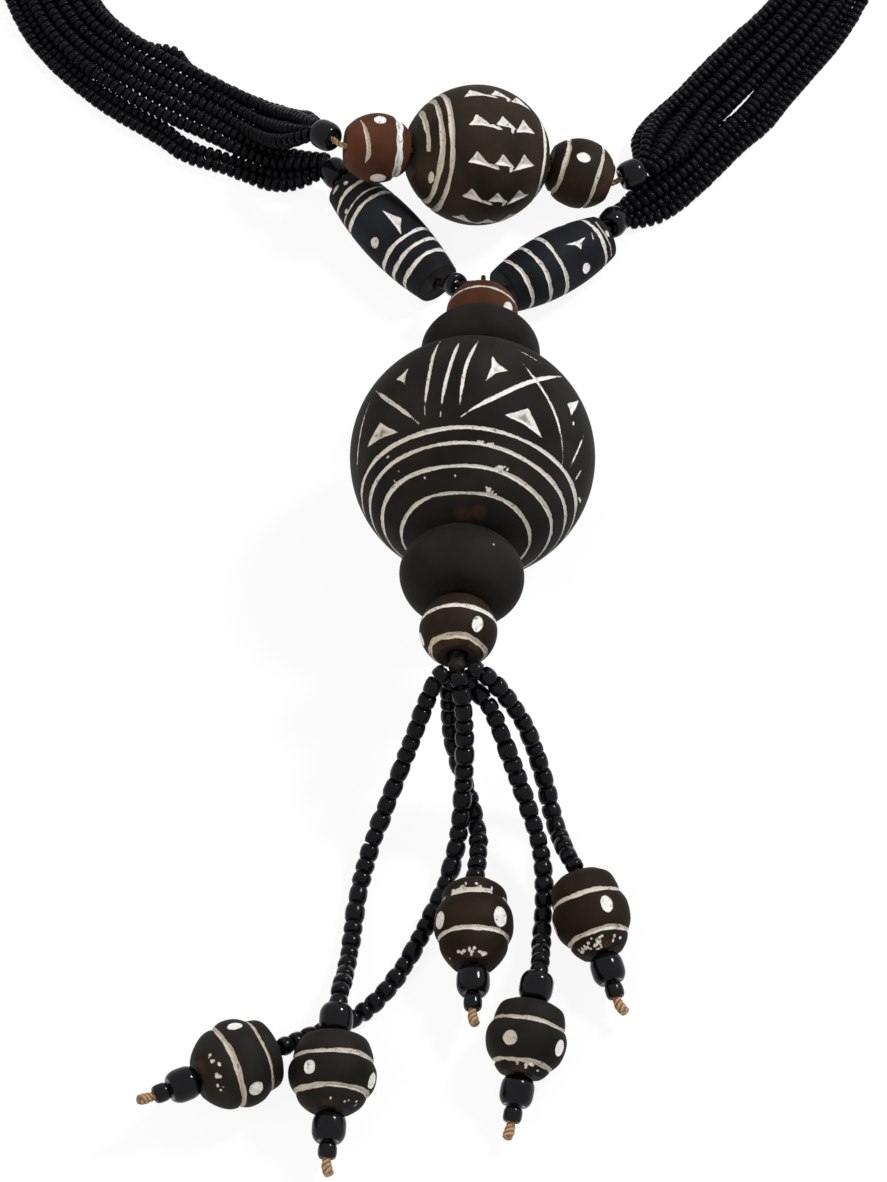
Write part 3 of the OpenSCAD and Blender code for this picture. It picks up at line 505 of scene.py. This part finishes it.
def laid_cord(path, d, plies=3, lay=CORD_LAY, sides=18):
    """A cord carried along a path: a ring across the way at each point, whose radius swells on each
    ply, and the plies turn once in each lay. Both ends close in a pole. Returns the grid, its wrap
    and its traits, as a part of a piece."""
    way = unit(np.gradient(path, axis=0))
    flat = unit(np.cross([0.0, 0.0, 1.0], way))
    rise = np.cross(way, flat)
    turn = np.arange(sides)[:, None] * 2 * math.pi / sides
    # ply also colours the cord through the trait 'ply': painted shade in the grooves between the plies.
    ply = 0.5 + 0.5 * np.cos(plies * (turn - 2 * math.pi * travelled(path) / lay))
    out = np.broadcast_to(d, len(path)) / 2 * (0.84 + 0.16 * np.sqrt(ply))
    ring = path + out[..., None] * (np.cos(turn)[..., None] * flat + np.sin(turn)[..., None] * rise)
    first, last = (np.broadcast_to(p, (sides, 1, 3)) for p in (path[0], path[-1]))
    ply = np.concatenate([ply[:, :1], ply, ply[:, -1:]], 1)
    return (np.concatenate([first, ring, last], 1), (True, False), {"ply": ply})


def softened(corners, step=0.3, passes=12):
    """A path of even steps through corners, rounded by averaging each point with its neighbours."""
    corners = np.array(corners)
    path = spaced(corners, round(travelled(corners)[-1] / step))
    for _ in range(passes):
        path[1:-1] = (path[:-2] + 2 * path[1:-1] + path[2:]) / 4
    return path


# Tan cord: the first colour is painted shade in the grooves between the plies, the second the crowns.
tan_cord = waxed_cotton("tan_waxed_cotton", "#6A4E36", "#AE8C69")


def strung(name, body, corners, finish, d=CORD_D):
    """A cord through beads, from corner to corner, that rides with its body."""
    grid, wrap, traits = laid_cord(softened(corners), d)
    cord = piece(name + "_plies", (grid, wrap, finish, traits))
    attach(cord, body)
    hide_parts(name)


def gather_ends(name, clear=0.2):
    """Where a cord passes a gathering bead: just outside its far face and its near one."""
    way = gather_way[name]
    return [gather[name] + way * (STOP_LEN + clear), gather[name] - way * clear]


strung("bar_cord", "loop", [
    *gather_ends("left_bar"), left_bar[0] - left_bar[2] * CORD_RUN_ON, left_bar[1], barrel[0], barrel[1],
    right_bar[0], right_bar[1] + right_bar[2] * CORD_RUN_ON / 2, *gather_ends("right_bar")[::-1]], tan_cord)


# Hanger cord: a second waxed cord, through both tubes, that carries the pendant on its middle. One
# small glass bead sits on it between the left tube and the pendant's loop.
JUNCTION_HALF = np.array([2.2, 0, 0])
JUNCTION_BEAD = (2.6, 4.2)
# Dark cord: the first colour is painted shade in the grooves between the plies, the second the crowns.
dark_cord = waxed_cotton("dark_waxed_cotton", "#0D0B09", "#1F1813")
pendant_swing = next(j for j in frame["joints"] if j["name"] == "pendant_swing")
junction = np.array(pendant_swing["pos_m"]) * 1000
junction_run = left_tube[1] + left_tube[2] * CORD_RUN_ON
strung("hanger_cord", "loop", [
    *gather_ends("left_tube"), left_tube[0] - left_tube[2] * CORD_RUN_ON / 2, junction_run,
    junction - JUNCTION_HALF, junction + JUNCTION_HALF, right_tube[1] + right_tube[2] * CORD_RUN_ON,
    right_tube[0] - right_tube[2] * CORD_RUN_ON, *gather_ends("right_tube")[::-1]], dark_cord)
way = unit(junction - JUNCTION_HALF - junction_run)
grid = threaded((junction_run + junction - JUNCTION_HALF) / 2, way, *JUNCTION_BEAD, CORD_BORE,
                STOP_PROFILE, 36)
bead = piece("junction_glass", (grid, (True, True), glass, {}))
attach(bead, "loop")
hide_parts("junction_bead")


# Pendant beads: a red-brown cap, a plain disc, the large focal bead, a second disc and the end
# bead, threaded on one bundle of cords. The focal bead's upper half is cut with fans of three
# lines between slanting lines, with wedges in the corners, and four rings go round its lower half.
PENDANT_BORE = 3.2
cap = clay_bead(
    "cap_bead", (12.2, 9.2, SMALL_END_D), PENDANT_BORE, red_clay,
    rings=[(-0.5, 0.5, 0.3)],
    dots=[(2, -52, 2.4, 2.2, 0.9), (2, 82, 2, 2.2, 0.9), (2, 195, 2, 2.2, 0.9)])
clay_bead("upper_disc_bead", (20, 9.2, 10), PENDANT_BORE, black_clay, fine=0.3)
FOCAL_FAN = [(0.55, 0.6, [(-10.7, 21), (-0.7, 21), (7.6, 23.5)]),
             (0.58, 0.7, [(-9.4, 9), (-1.2, 11.5), (8.3, 15.5)]),
             (0.58, 0.8, [(-9.4, -0.5), (-1, 4), (7.5, 6)]),
             (0.66, 0.6, [(-2.4, 53.5), (3.2, 41), (8.7, 27)]),
             (0.8, 0.9, [(8.5, 5), (4.4, -12), (-1.5, -30), (-7, -47)])]
FOCAL_WEDGES = [(0.5, 0.3, [(-3.4, 33), (-1.6, 39.5), (0.7, 33.5)]),
                (0.9, 0.35, [(-4.4, -7.5), (-1.2, -15.5), (2, -5.5)]),
                (0.6, 0.1, [(5.4, 49.5), (8.7, 39.5), (7.2, 64)]),
                (0.9, 0.1, [(7.4, -16), (4.9, -27.5), (8.4, -39)])]
FOCAL_SIDE = [(0.5, 0.95, [(-4.6, -22), (-1.5, -29), (2.9, -41), (9.7, -58)]),
              (0.3, 0.8, [(-8.4, -20.5), (-6.9, -34)]),
              (0.45, 0.9, [(2, -64), (5.5, -63), (8.9, -63)]),
              (0.4, 0.8, [(6.6, -72), (9.2, -72)]),
              (0.4, 0.8, [(9.2, -84), (8.4, -91)]),
              (0.4, 0.8, [(-0.7, 57), (4.6, 69), (7.7, 80)])]


def turned(marks, by):
    """The same marks, turned round the bead."""
    return [(*mark[:2], [(along, turn + by) for along, turn in mark[2]]) for mark in marks]


def crumbs(along, about, deep, wide, count, seed):
    """Flecks of slip left in a chipped place, spread about it; the seed fixes where each falls."""
    draw = np.random.default_rng(seed).normal(size=(count, 4))
    return [(along + deep * a, about + wide * b, 0.35 + 0.2 * abs(c), 0.3 + 0.25 * abs(e), 0.6)
            for a, b, c, e in draw.tolist()]


clay_bead(
    "focal_bead", (40, 38.4, 11.2), PENDANT_BORE, black_clay, fine=0.28,
    rings=[(10, 0.68, 0.6), (12.2, 0.62, 0.55), (14.7, 0.68, 0.6), (17.2, 0.6, 0.5)],
    lines=FOCAL_FAN + FOCAL_SIDE + turned(FOCAL_FAN, 180),
    wedges=FOCAL_WEDGES + turned(FOCAL_WEDGES, 180)
    + [(1, 0.1, [(-0.5, -48.5), (-4.8, -59.5), (1.2, -52)])],
    dots=[(2.2, -54.5, 0.8, 0.5, 0.9), (13.4, 48.5, 0.4, 0.4, 0.6), (14, 55, 0.4, 0.4, 0.5),
          (15.8, 9, 0.4, 0.35, 0.8), (11, 51, 0.4, 0.9, 0.1), (15.4, 32, 0.5, 0.4, 0.6),
          *crumbs(11.9, -8, 0.12, 4, 8, 31), *crumbs(14.3, -21, 0.12, 3, 8, 32),
          *crumbs(16.8, -20, 0.12, 4, 8, 33)],
    bare=[(18.9, 2, 2.2), (18.6, -16, 2), (16.9, -20, 1.2)])
clay_bead("lower_disc_bead", (20, 10.4, 10), PENDANT_BORE, black_clay, fine=0.3,
          dots=[(0.7, -30, 0.4, 0.4, 0.9)])
umber_clay = clay("umber_burnished_clay", "#17120E", "#251D16")
end = clay_bead(
    "end_bead", (12.4, 10, SMALL_END_D), PENDANT_BORE, umber_clay,
    rings=[(-0.6, 0.8, 0.75), (4.1, 0.95, 0.15)],
    dots=[(2.1, -32, 2.6, 1.9, 1), (2, 88, 2.4, 2, 0.9), (2, 208, 2.4, 2, 0.9)],
    bare=[(5, 12, 2.8), (4.9, 60, 2.4), (4.9, -50, 2.4)])


# Pendant cord: a bundle of waxed cords drawn through the pendant beads. One of them is looped over
# the hanger cord above, and all are knotted together under the end bead, where the tassels leave.
PENDANT_CORD_D = 2.4
LOOP_R = 1.0
LOOP_CORD_D = 0.8
KNOT_D = 2.8
tassel_swing = next(j for j in frame["joints"] if j["name"] == "tassel_swing")
root = np.array(tassel_swing["pos_m"]) * 1000
round_loop = np.linspace(0, 2 * math.pi, 49)[:-1]
round_cord = np.linspace(0, 2 * math.pi, 17)[:-1, None]
out = LOOP_R + LOOP_CORD_D / 2 * np.cos(round_cord)
loop = junction + np.stack(np.broadcast_arrays(
    -LOOP_CORD_D / 2 * np.sin(round_cord), out * np.cos(round_loop), out * np.sin(round_loop)), -1)
# The loop's 'ply' only colours it: painted shade in the grooves between its plies.
ply = 0.5 + 0.5 * np.cos(3 * (round_cord + 3 * round_loop))
stem, wrap, stem_traits = laid_cord(softened([cap[0] - cap[2] * 1.7, cap[0] + cap[2]]), CORD_D)
focal_spin = next(j for j in frame["joints"] if j["name"] == "focal_bead_spin")
focal_middle = np.array(focal_spin["pos_m"]) * 1000
bundle, wrap, bundle_traits = laid_cord(
    softened([cap[0] + cap[2] * 0.5, focal_middle, end[0], root]), PENDANT_CORD_D, 5, 14, 30)
height = np.linspace(-math.pi / 2, math.pi / 2, 17)
around = np.linspace(0, 2 * math.pi, 33)[:-1, None]
strand = 0.9 + 0.1 * np.sqrt(0.5 + 0.5 * np.cos(4 * around + 3 * height))
knot = root + KNOT_D / 2 * strand[..., None] * np.stack(np.broadcast_arrays(
    np.cos(height) * np.cos(around), np.cos(height) * np.sin(around), np.sin(height)), -1)
knot[:, [0, -1]] = knot[:1, [0, -1]]
# Through 'ply', the knot is painted a little darker in the grooves between its strands: painted shade.
cord = piece("pendant_cord_plies", (loop, (True, True), dark_cord, {"ply": ply}),
             (stem, wrap, dark_cord, stem_traits), (bundle, wrap, dark_cord, bundle_traits),
             (knot, (True, False), dark_cord, {"ply": strand}))
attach(cord, "pendant")
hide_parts("pendant_cord")


# Tassels: five waxed cords knotted under the end bead, each strung with black glass seed beads, a
# round clay bead and two glass stop beads, and cut off with a short tail past its last knot.
SEED_D = 2.95
SEED_PITCH = 2.65
SEED_GAP = 0.12
TABLE_GAP = 0.06
SEED_FACE_R = 1.33
TIP_BEAD = (2.2, 2.9)
TAIL_LEN = 2.6
# Spread of the seed beads' lengths and widths as shares, and of the tilt of their bores.
SEED_LENGTHS = (0.75, 1.25)
SEED_WIDTHS = (0.95, 1.07)
SEED_TILT = 0.06
# The last seed bead's place, as a share of the room that the bend into the clay bead needs.
ROOM_SHARE = 0.65
# The last 20 mm of each cord is doubled back inside its beads, and its tail frays out.
DOUBLED_LEN = 20
DOUBLED_GIRTH = 1.58
TAIL_GIRTH = [1.2, 1.3, 1.6, 1.75, 1.6]
# Where the root was when the routes were laid; their first points follow it, less and less.
ROOT_LAID = np.array([1.7, -116.5, 25.7])
ROOT_FADE = 4
TASSEL_ROUTES = [
    [(-1.3, -118, 25.4), (-3, -120.6, 21.6), (-5.2, -124.4, 16), (-8.5, -130, 8.5),
     (-11.5, -136.5, 3.4), (-13.5, -144.5, 1.7), (-14.2, -151, 1.6), (-14.8, -156, 2.6),
     (-15.3, -160.5, 5.2), (-15.8, -163.6, 7.6)],
    [(2, -119.2, 26.8), (2.8, -122.4, 22.4), (3.1, -126.5, 14.8), (2.8, -131, 8.4), (2, -136.5, 3.6),
     (0.2, -142.5, 1.8), (-3, -150, 1.6), (-6.5, -157, 1.6), (-10, -162, 1.6), (-14, -165.5, 1.6),
     (-18, -167.6, 2.2), (-21.5, -170.2, 4.4)],
    [(0.4, -118, 22.8), (0.6, -119.6, 18), (1.2, -122, 12.4), (2.7, -125.2, 7.9), (4.3, -129, 5.1),
     (5.4, -134, 4.3), (5.4, -139, 5.4)],
    [(4.1, -118.4, 22.4), (6.9, -121, 21), (9, -124.6, 17.4), (11.2, -128, 12.6), (13.2, -132, 8.8),
     (15, -137.5, 6.6), (15.7, -143, 5), (15.5, -148, 3.6), (15.2, -152, 3.8), (15, -156, 5.8),
     (14.8, -158.8, 7.8)],
    [(5.6, -117.6, 25.6), (7.8, -118.4, 23.4), (10.2, -119.8, 20.2), (12.6, -121.4, 16.2),
     (14.6, -123.8, 11), (16.2, -127, 6.4), (17.3, -131, 3.6), (18.4, -135.5, 4.6), (19.4, -139.6, 6.8)]]
TOP_STOP = [True, False, False, True, False]
TAIL_BEND = [(0.5, 0.2), (0.2, 0.6), (0.4, 0.3), (-0.2, 0.4), (0.6, 0.4)]
# Each clay bead: its size, rings and dots, from the first tassel to the fifth.
TASSEL_BEADS = [
    ((13.6, 12, SMALL_END_D), [(-1.8, 0.8, 0.25), (3.6, 0.85, 0.25)],
     [(1, 29, 2.2, 2, 0.8), (1.6, -71, 2.6, 2.4, 0.9), (1.2, 130, 2.3, 2.2, 0.8),
      (1.2, 215, 2.3, 2.2, 0.8)]
     + crumbs(5.2, -30, 0.25, 20, 6, 11)),
    ((13.8, 12.6, SMALL_END_D), [(-3.6, 0.5, 0.1), (1.8, 0.9, 0.2)],
     [(-0.8, 29, 2.4, 1.9, 1), (-0.3, -66, 2.3, 2.5, 0.9), (-0.6, 125, 2.3, 2.2, 0.9),
      (-0.6, 205, 2.2, 2.2, 0.9)]
     + crumbs(4.5, -20, 0.3, 24, 14, 12)),
    ((12.4, 14, SMALL_END_D), [(-3.7, 1, 0.4, 5, 38), (-3.7, 0.6, 0.3, 180, 120), (2.9, 0.75, 0.5)],
     [(0.6, -42, 3.3, 2.7, 1), (0.6, 61, 2.8, 2.6, 0.8), (0.6, 150, 2.8, 2.5, 0.9),
      (0.6, 235, 2.8, 2.5, 0.9)]
     + crumbs(-4.2, 8, 0.35, 22, 12, 13) + crumbs(6.2, 0, 0.3, 26, 14, 14)),
    ((12.6, 11.4, SMALL_END_D), [(-2.1, 0.7, 0.2), (4.4, 0.75, 0.2)],
     [(1.4, 21, 2.3, 2.4, 0.1), (1.1, -62, 2.6, 2.4, 0.9), (1.2, 110, 2.3, 2.3, 0.8),
      (1.2, 205, 2.3, 2.3, 0.8)]
     + crumbs(4.7, -30, 0.3, 22, 12, 15)),
    ((12.2, 13.2, SMALL_END_D), [(-2.3, 0.8, 0.4), (4.2, 0.8, 0.4)],
     [(0.6, -18, 2.7, 2, 0.95), (0.6, 95, 2.4, 2.2, 0.8), (0.6, 210, 2.4, 2.2, 0.8)]
     + crumbs(5.6, 18, 0.4, 24, 26, 16))]
swing = np.linspace(-1, 1, 5)
SEED_PROFILE = np.concatenate([np.stack([swing, 1 - 0.3 * np.abs(swing) ** 3], -1),
                               [[0.8, 0], [-0.8, 0]]])
seed_glass = black_glass("black_seed_glass", 0.08, 0.2, 0.1)
TASSEL_CLAY = [black_clay, black_clay, umber_clay, black_clay, umber_clay]
for i, (size, rings, dots) in enumerate(TASSEL_BEADS):
    start, stop, axis = clay_bead(f"tassel_bead_{i + 1}", size, CORD_BORE, TASSEL_CLAY[i],
                                  rings=rings, dots=dots, dip=0.35, full=0.65,
                                  bare=[(size[1] / 2, 0, 2), (size[1] / 2, 90, 2)])

    # The seed beads end where the last of them meets the clay bead, or the stop bead above it.
    route = np.array(TASSEL_ROUTES[i])
    fade = np.maximum(0, 1 - np.arange(len(route)) / ROOT_FADE)
    bend = unit(start - route[-1]) @ axis
    face = SEED_FACE_R + (GATHER_FACE_R if TOP_STOP[i] else SMALL_END_D / 2)
    room = (STRING_GAP * 2 + face * math.sqrt((1 - bend) / (1 + bend))
            + TOP_STOP[i] * (STOP_LEN + STRING_GAP))
    line = curve([*(route + fade[:, None] * (root - ROOT_LAID)), start - axis * room * ROOM_SHARE])
    places = spaced(line, round(travelled(line)[-1] / SEED_PITCH))
    first = root + unit(places[0] - root) * (KNOT_D / 2 + STRING_GAP)
    tip = stop + axis * (2 * STRING_GAP + STOP_LEN + TIP_BEAD[0])
    swerve = np.array([TAIL_BEND[i][0], 0, TAIL_BEND[i][1]])
    tail = curve([tip - axis, tip, tip + axis * TAIL_LEN * 0.3,
                  tip + axis * TAIL_LEN * 0.65 + swerve * 0.3, tip + axis * TAIL_LEN + swerve], 6)

    # The seed beads are cut to uneven lengths, and rise where they would sink into the table.
    draw = np.random.default_rng(20 + i)
    whole = np.concatenate([[first], line])
    run = travelled(whole)
    cuts = np.cumsum(draw.uniform(*SEED_LENGTHS, round(run[-1] / SEED_PITCH)))
    cuts = np.concatenate([[0], cuts / cuts[-1]]) * run[-1]
    ends = np.stack([np.interp(cuts, run, whole[:, c]) for c in range(3)], -1)
    apart = ends[1:] - ends[:-1]
    way = unit(unit(apart) + draw.normal(0, SEED_TILT, apart.shape))
    d = SEED_D * draw.uniform(*SEED_WIDTHS, len(way))
    middles = (ends[1:] + ends[:-1]) / 2
    middles[:, 2] = np.maximum(middles[:, 2], d / 2 + TABLE_GAP)
    seeds = threaded(middles, way, np.linalg.norm(apart, axis=1) - SEED_GAP, d, CORD_D, SEED_PROFILE, 12)
    inner = softened([first, *places, start, stop, tip], 0.6, 2)
    doubled = np.interp(travelled(inner), travelled(inner)[-1] - np.array([DOUBLED_LEN + 2, DOUBLED_LEN]),
                        [1, DOUBLED_GIRTH])
    inner, wrap, inner_traits = laid_cord(inner, CORD_D * doubled, sides=8)
    swell = np.interp(travelled(tail), [0, 1, 2, TAIL_LEN, TAIL_LEN + 1], TAIL_GIRTH)
    outer, wrap, outer_traits = laid_cord(tail, CORD_D * swell, sides=20)
    strand = piece(f"tassel_strand_{i + 1}", (seeds, (True, True), seed_glass, {}),
                   (inner, wrap, dark_cord, inner_traits), (outer, wrap, tan_cord, outer_traits))
    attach(strand, "tassels")
    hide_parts(f"tassel_cord_{i + 1}", f"tassel_seed_beads_{i + 1}")

    middles = [stop + axis * (STRING_GAP + STOP_LEN / 2)]
    if TOP_STOP[i]:
        middles.append(start - axis * (STRING_GAP + STOP_LEN / 2))
    large = threaded(middles, [axis] * len(middles), STOP_LEN, STOP_D, CORD_BORE, STOP_PROFILE, 40)
    small = threaded(tip - axis * TIP_BEAD[0] / 2, axis, *TIP_BEAD, CORD_BORE, STOP_PROFILE, 32)
    stops = piece(f"tassel_stops_{i + 1}", (large, (True, True), glass, {}),
                  (small, (True, True), glass, {}))
    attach(stops, "tassels")
    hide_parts(f"tassel_stop_beads_{i + 1}")
    path = np.concatenate([[first], places, [start, stop], tail[6:]])


# Neck strands: twelve threads of small black seed beads, seven lying on the table and five in the
# grooves between them. They draw together at both ends into the gathering beads.
NECK_ROUTE = [(-22, 5.5), (-30, 8), (-44.5, 15), (-60, 26), (-70, 38), (-76, 56), (-77, 78), (-74, 106),
              (-65, 134), (-50, 158), (-28, 178), (0, 185), (28, 178), (50, 158), (65, 134), (74, 106),
              (77, 78), (75, 58), (68, 40), (57, 25), (49, 15), (42, 6.5), (35, -1.5)]
STRANDS = 12
LOWER_STRANDS = 7
NECK_SEED_D = 2.42
STRAND_PITCH = 2.4
STRAND_RISE = 1.844
NECK_SEED_PITCH = 1.5
NECK_SEED_LEN = 1.42
NECK_SEED_SPREAD = (0.9, 1)
NECK_SEED_TILT = 0.05
THREAD_D = 0.5
GATHER_LEN = 7
BLEND_LEN = 20
SQUEEZE = 0.42
MOUTH_STEP = 0.5
PATH_POINTS = 970
# Where the seed beads crowd just past a gathering bead, and where the whole bundle spreads: distance
# from the end, and reach.
CROWD = (9, 6)
SPREAD = (30, 16)
# The outermost strand is pressed in to this column.
LAST_COL = 2.83
# Past 30 mm the strands come free over 25 mm, and sway and lift in slow waves of these heights.
FREE_FROM = 30
FREE_OVER = 25
SWAY = 0.07
LIFT = 0.1
# Where the outer strands stand off: distance from an end, reach, first strand from the middle, shift.
LOOSE = [(21, 4.5, 2, 1.5), (37, 3.5, -3, -2.1), (-25, 5, 1, 0.7)]
# The way each group leaves its gathering bead: bearing, rise, and the turn from strand to strand.
FANS = {"left_bar": (132, -36, 8), "left_tube": (172, -22, 0), "right_bar": (74, -8, -9),
        "right_tube": (30, -28, 0)}
MIDDLE_COL = {"bar": -1.75, "tube": 1.4}

neck_line = curve([(x, y, 0) for x, y in NECK_ROUTE])
neck_run = travelled(neck_line)
neck_len = neck_run[-1]


def ease(t):
    """Smooth step from 0 to 1."""
    t = np.clip(t, 0, 1)
    return t * t * (3 - 2 * t)


def bell(x, middle, reach):
    """Bell curve of height 1: e to the minus square of the distance from its middle over its reach."""
    return np.exp(-((x - middle) / reach) ** 2)


def neck_at(s):
    """Point of the bundle's middle line at distance s along it."""
    return np.stack([np.interp(s, neck_run, neck_line[:, i]) for i in range(3)], -1)


def seed_width(e):
    """Diameter of the seed beads at distance e from a gathering bead: largest where they crowd."""
    return NECK_SEED_D * (np.minimum(1, 0.86 + 0.14 * e / GATHER_LEN) + 0.12 * bell(e, *CROWD)
                          + 0.05 * bell(e, *SPREAD))


def strand_path(k):
    """A strand's line: near each end it fans out of its gathering bead in a squeezed block of rows
    and columns, and over the next 20 mm it eases into its own place beside the middle line, where
    it sways and lifts a little in slow waves."""
    row = 0 if k < LOWER_STRANDS else 1
    col = k - 3 if row == 0 else k - LOWER_STRANDS - 2.5
    to = "bar" if col <= -0.5 else "tube"
    s = np.linspace(0, neck_len, PATH_POINTS)
    left = (s < neck_len / 2)[:, None]
    e = np.minimum(s, neck_len - s)
    way = unit(neck_at(np.minimum(s + 1, neck_len)) - neck_at(np.maximum(s - 1, 0)))
    out = np.stack([-way[:, 1], way[:, 0], 0 * s], -1)
    fan = np.where(left, *(heading(bearing + turn * (col + 3), rise)
                           for bearing, rise, turn in (FANS["left_" + to], FANS["right_" + to])))
    mouth = np.where(left, *(gather[end + to] + gather_way[end + to] * (STOP_LEN + MOUTH_STEP)
                             for end in ("left_", "right_")))
    u = unit(out - fan * (out * fan).sum(1, keepdims=True))
    v = np.cross(fan, u)
    v = np.where(v[:, 2:] < 0, -v, v)
    drawn = (SQUEEZE + (1 - SQUEEZE) * np.minimum(1, e / GATHER_LEN))[:, None]
    radius = seed_width(e) / 2
    fanned = (mouth + fan * e[:, None] + u * (col - MIDDLE_COL[to]) * STRAND_PITCH * drawn
              + v * (row - 0.5) * STRAND_RISE * drawn)
    fanned[:, 2] = np.maximum(fanned[:, 2], TABLE_GAP + radius + row * STRAND_RISE * drawn[:, 0])
    across = min(col, LAST_COL) * STRAND_PITCH * (1 + 0.13 * bell(e, *SPREAD))
    for far, reach, after, shift in LOOSE:
        if (col >= after) if after > 0 else (col <= after):
            across += shift * bell(s, far if far > 0 else neck_len + far, reach)
    free = ease((e - FREE_FROM) / FREE_OVER)
    across += free * SWAY * np.sin(s / 11 + 2.1 * k)
    laid = neck_at(s) + out * across[:, None]
    laid[:, 2] = radius + TABLE_GAP + row * (STRAND_RISE + free * LIFT * np.sin(s / 8 + 1.3 * k))
    return fanned + (laid - fanned) * ease((e - 2) / BLEND_LEN)[:, None]


worn_glass = black_glass("worn_seed_glass", 0.14, 0.34, 0.05)
NECK_SEED_PROFILE = np.array([(-1, 0.5), (-0.55, 1), (0.55, 1), (1, 0.5), (0, 0)])
for k in range(STRANDS):
    path = strand_path(k)
    run = travelled(path)[-1]
    places = spaced(path, round(run / NECK_SEED_PITCH))
    middles = (places[1:] + places[:-1]) / 2
    near = np.minimum(np.arange(len(middles)), np.arange(len(middles))[::-1]) * NECK_SEED_PITCH
    draw = np.random.default_rng(40 + k)
    way = unit(unit(places[1:] - places[:-1]) + draw.normal(0, NECK_SEED_TILT, middles.shape))
    d = seed_width(near) * draw.uniform(*NECK_SEED_SPREAD, len(middles))
    length = NECK_SEED_LEN * draw.uniform(*NECK_SEED_SPREAD, len(middles))
    seeds = threaded(middles, way, length, d, THREAD_D, NECK_SEED_PROFILE, 8)
    thread, wrap, traits = laid_cord(places, THREAD_D, sides=6)
    strand = piece(f"neck_seed_strand_{k + 1}", (seeds, (True, True), worn_glass, {}),
                   (thread, wrap, dark_cord, traits))
    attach(strand, "loop")
    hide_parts(f"neck_strand_{k + 1}")


# Table and light: a plain white table in a white room, with window light from the right and a
# weaker, warmer fill from the left. The camera and the gloss see the table and the room as white.
# The camera looks down at about 57 degrees through a long lens, as the photo's did.
FRAME_HEIGHT = 1182
FOCAL_PIXELS = 3750
CAMERA_PLACE = (0, -0.4237, 0.52)
LOOKED_AT = (0, -0.086, 0)
TABLE_HALF = 2
TABLE_GLOW = 0.9
ROOM_LIGHT = 0.58
ROOM_SEEN = 1.03
table = bpy.data.meshes.new("table")
corners = np.array([(-1, -1, 0), (1, -1, 0), (1, 1, 0), (-1, 1, 0)]) * TABLE_HALF
table.from_pydata(corners.tolist(), [], [(0, 1, 2, 3)])
white = bpy.data.materials.new("white_paper")
white.use_nodes = True
tree = white.node_tree
tree.nodes.clear()
ray = add(tree, "ShaderNodeLightPath").outputs
paper = add(tree, "ShaderNodeBsdfDiffuse", {"Color": linear("#EFEFEF")})
glow = add(tree, "ShaderNodeEmission", {"Color": (1, 1, 1, 1), "Strength": 1.0})
seen = add(tree, "ShaderNodeMath", {0: ray["Is Camera Ray"], 1: ray["Is Glossy Ray"]},
           operation="MAXIMUM")
seen = add(tree, "ShaderNodeMath", {0: seen.outputs[0], 1: TABLE_GLOW}, operation="MULTIPLY")
mixed = add(tree, "ShaderNodeMixShader", {0: seen.outputs[0], 1: paper.outputs[0], 2: glow.outputs[0]})
add(tree, "ShaderNodeOutputMaterial", {"Surface": mixed.outputs[0]})
table.materials.append(white)
table = bpy.data.objects.new("table", table)
bpy.context.scene.collection.objects.link(table)

world = bpy.data.worlds.new("room")
world.use_nodes = True
tree = world.node_tree
ray = add(tree, "ShaderNodeLightPath").outputs
room = add(tree, "ShaderNodeMath", {0: ray["Is Camera Ray"], 1: ray["Is Glossy Ray"]},
           operation="MAXIMUM")
room = add(tree, "ShaderNodeMath", {0: room.outputs[0], 1: ROOM_SEEN - ROOM_LIGHT, 2: ROOM_LIGHT},
           operation="MULTIPLY_ADD")
tree.nodes["Background"].inputs["Color"].default_value = linear("#F4F6F8")
tree.links.new(room.outputs[0], tree.nodes["Background"].inputs["Strength"])
bpy.context.scene.world = world
for name, place, size, watts, colour in (("window", (0.55, 0.25, 0.75), 0.15, 9.5, "#F5F8FF"),
                                         ("fill", (-0.6, -0.5, 0.7), 0.7, 5, "#FFF4E6")):
    lamp = bpy.data.lights.new(name, "AREA")
    lamp.size = size
    lamp.energy = watts
    lamp.color = linear(colour)[:3]
    lamp = bpy.data.objects.new(name, lamp)
    bpy.context.scene.collection.objects.link(lamp)
    lamp.location = place
    lamp.rotation_euler = (-lamp.location).to_track_quat("-Z", "Y").to_euler()
    # Only the window shows as a highlight.
    lamp.visible_glossy = name == "window"

lens = bpy.data.cameras.new("camera")
lens.sensor_fit = "VERTICAL"
lens.sensor_height = 36
lens.lens = FOCAL_PIXELS / FRAME_HEIGHT * lens.sensor_height
lens.clip_start = 0.01
camera = bpy.data.objects.new("camera", lens)
bpy.context.scene.collection.objects.link(camera)
camera.location = CAMERA_PLACE
camera.rotation_euler = (mathutils.Vector(LOOKED_AT) - camera.location).to_track_quat("-Z", "Y").to_euler()
bpy.context.scene.camera = camera
bpy.context.scene.view_settings.view_transform = "Standard"
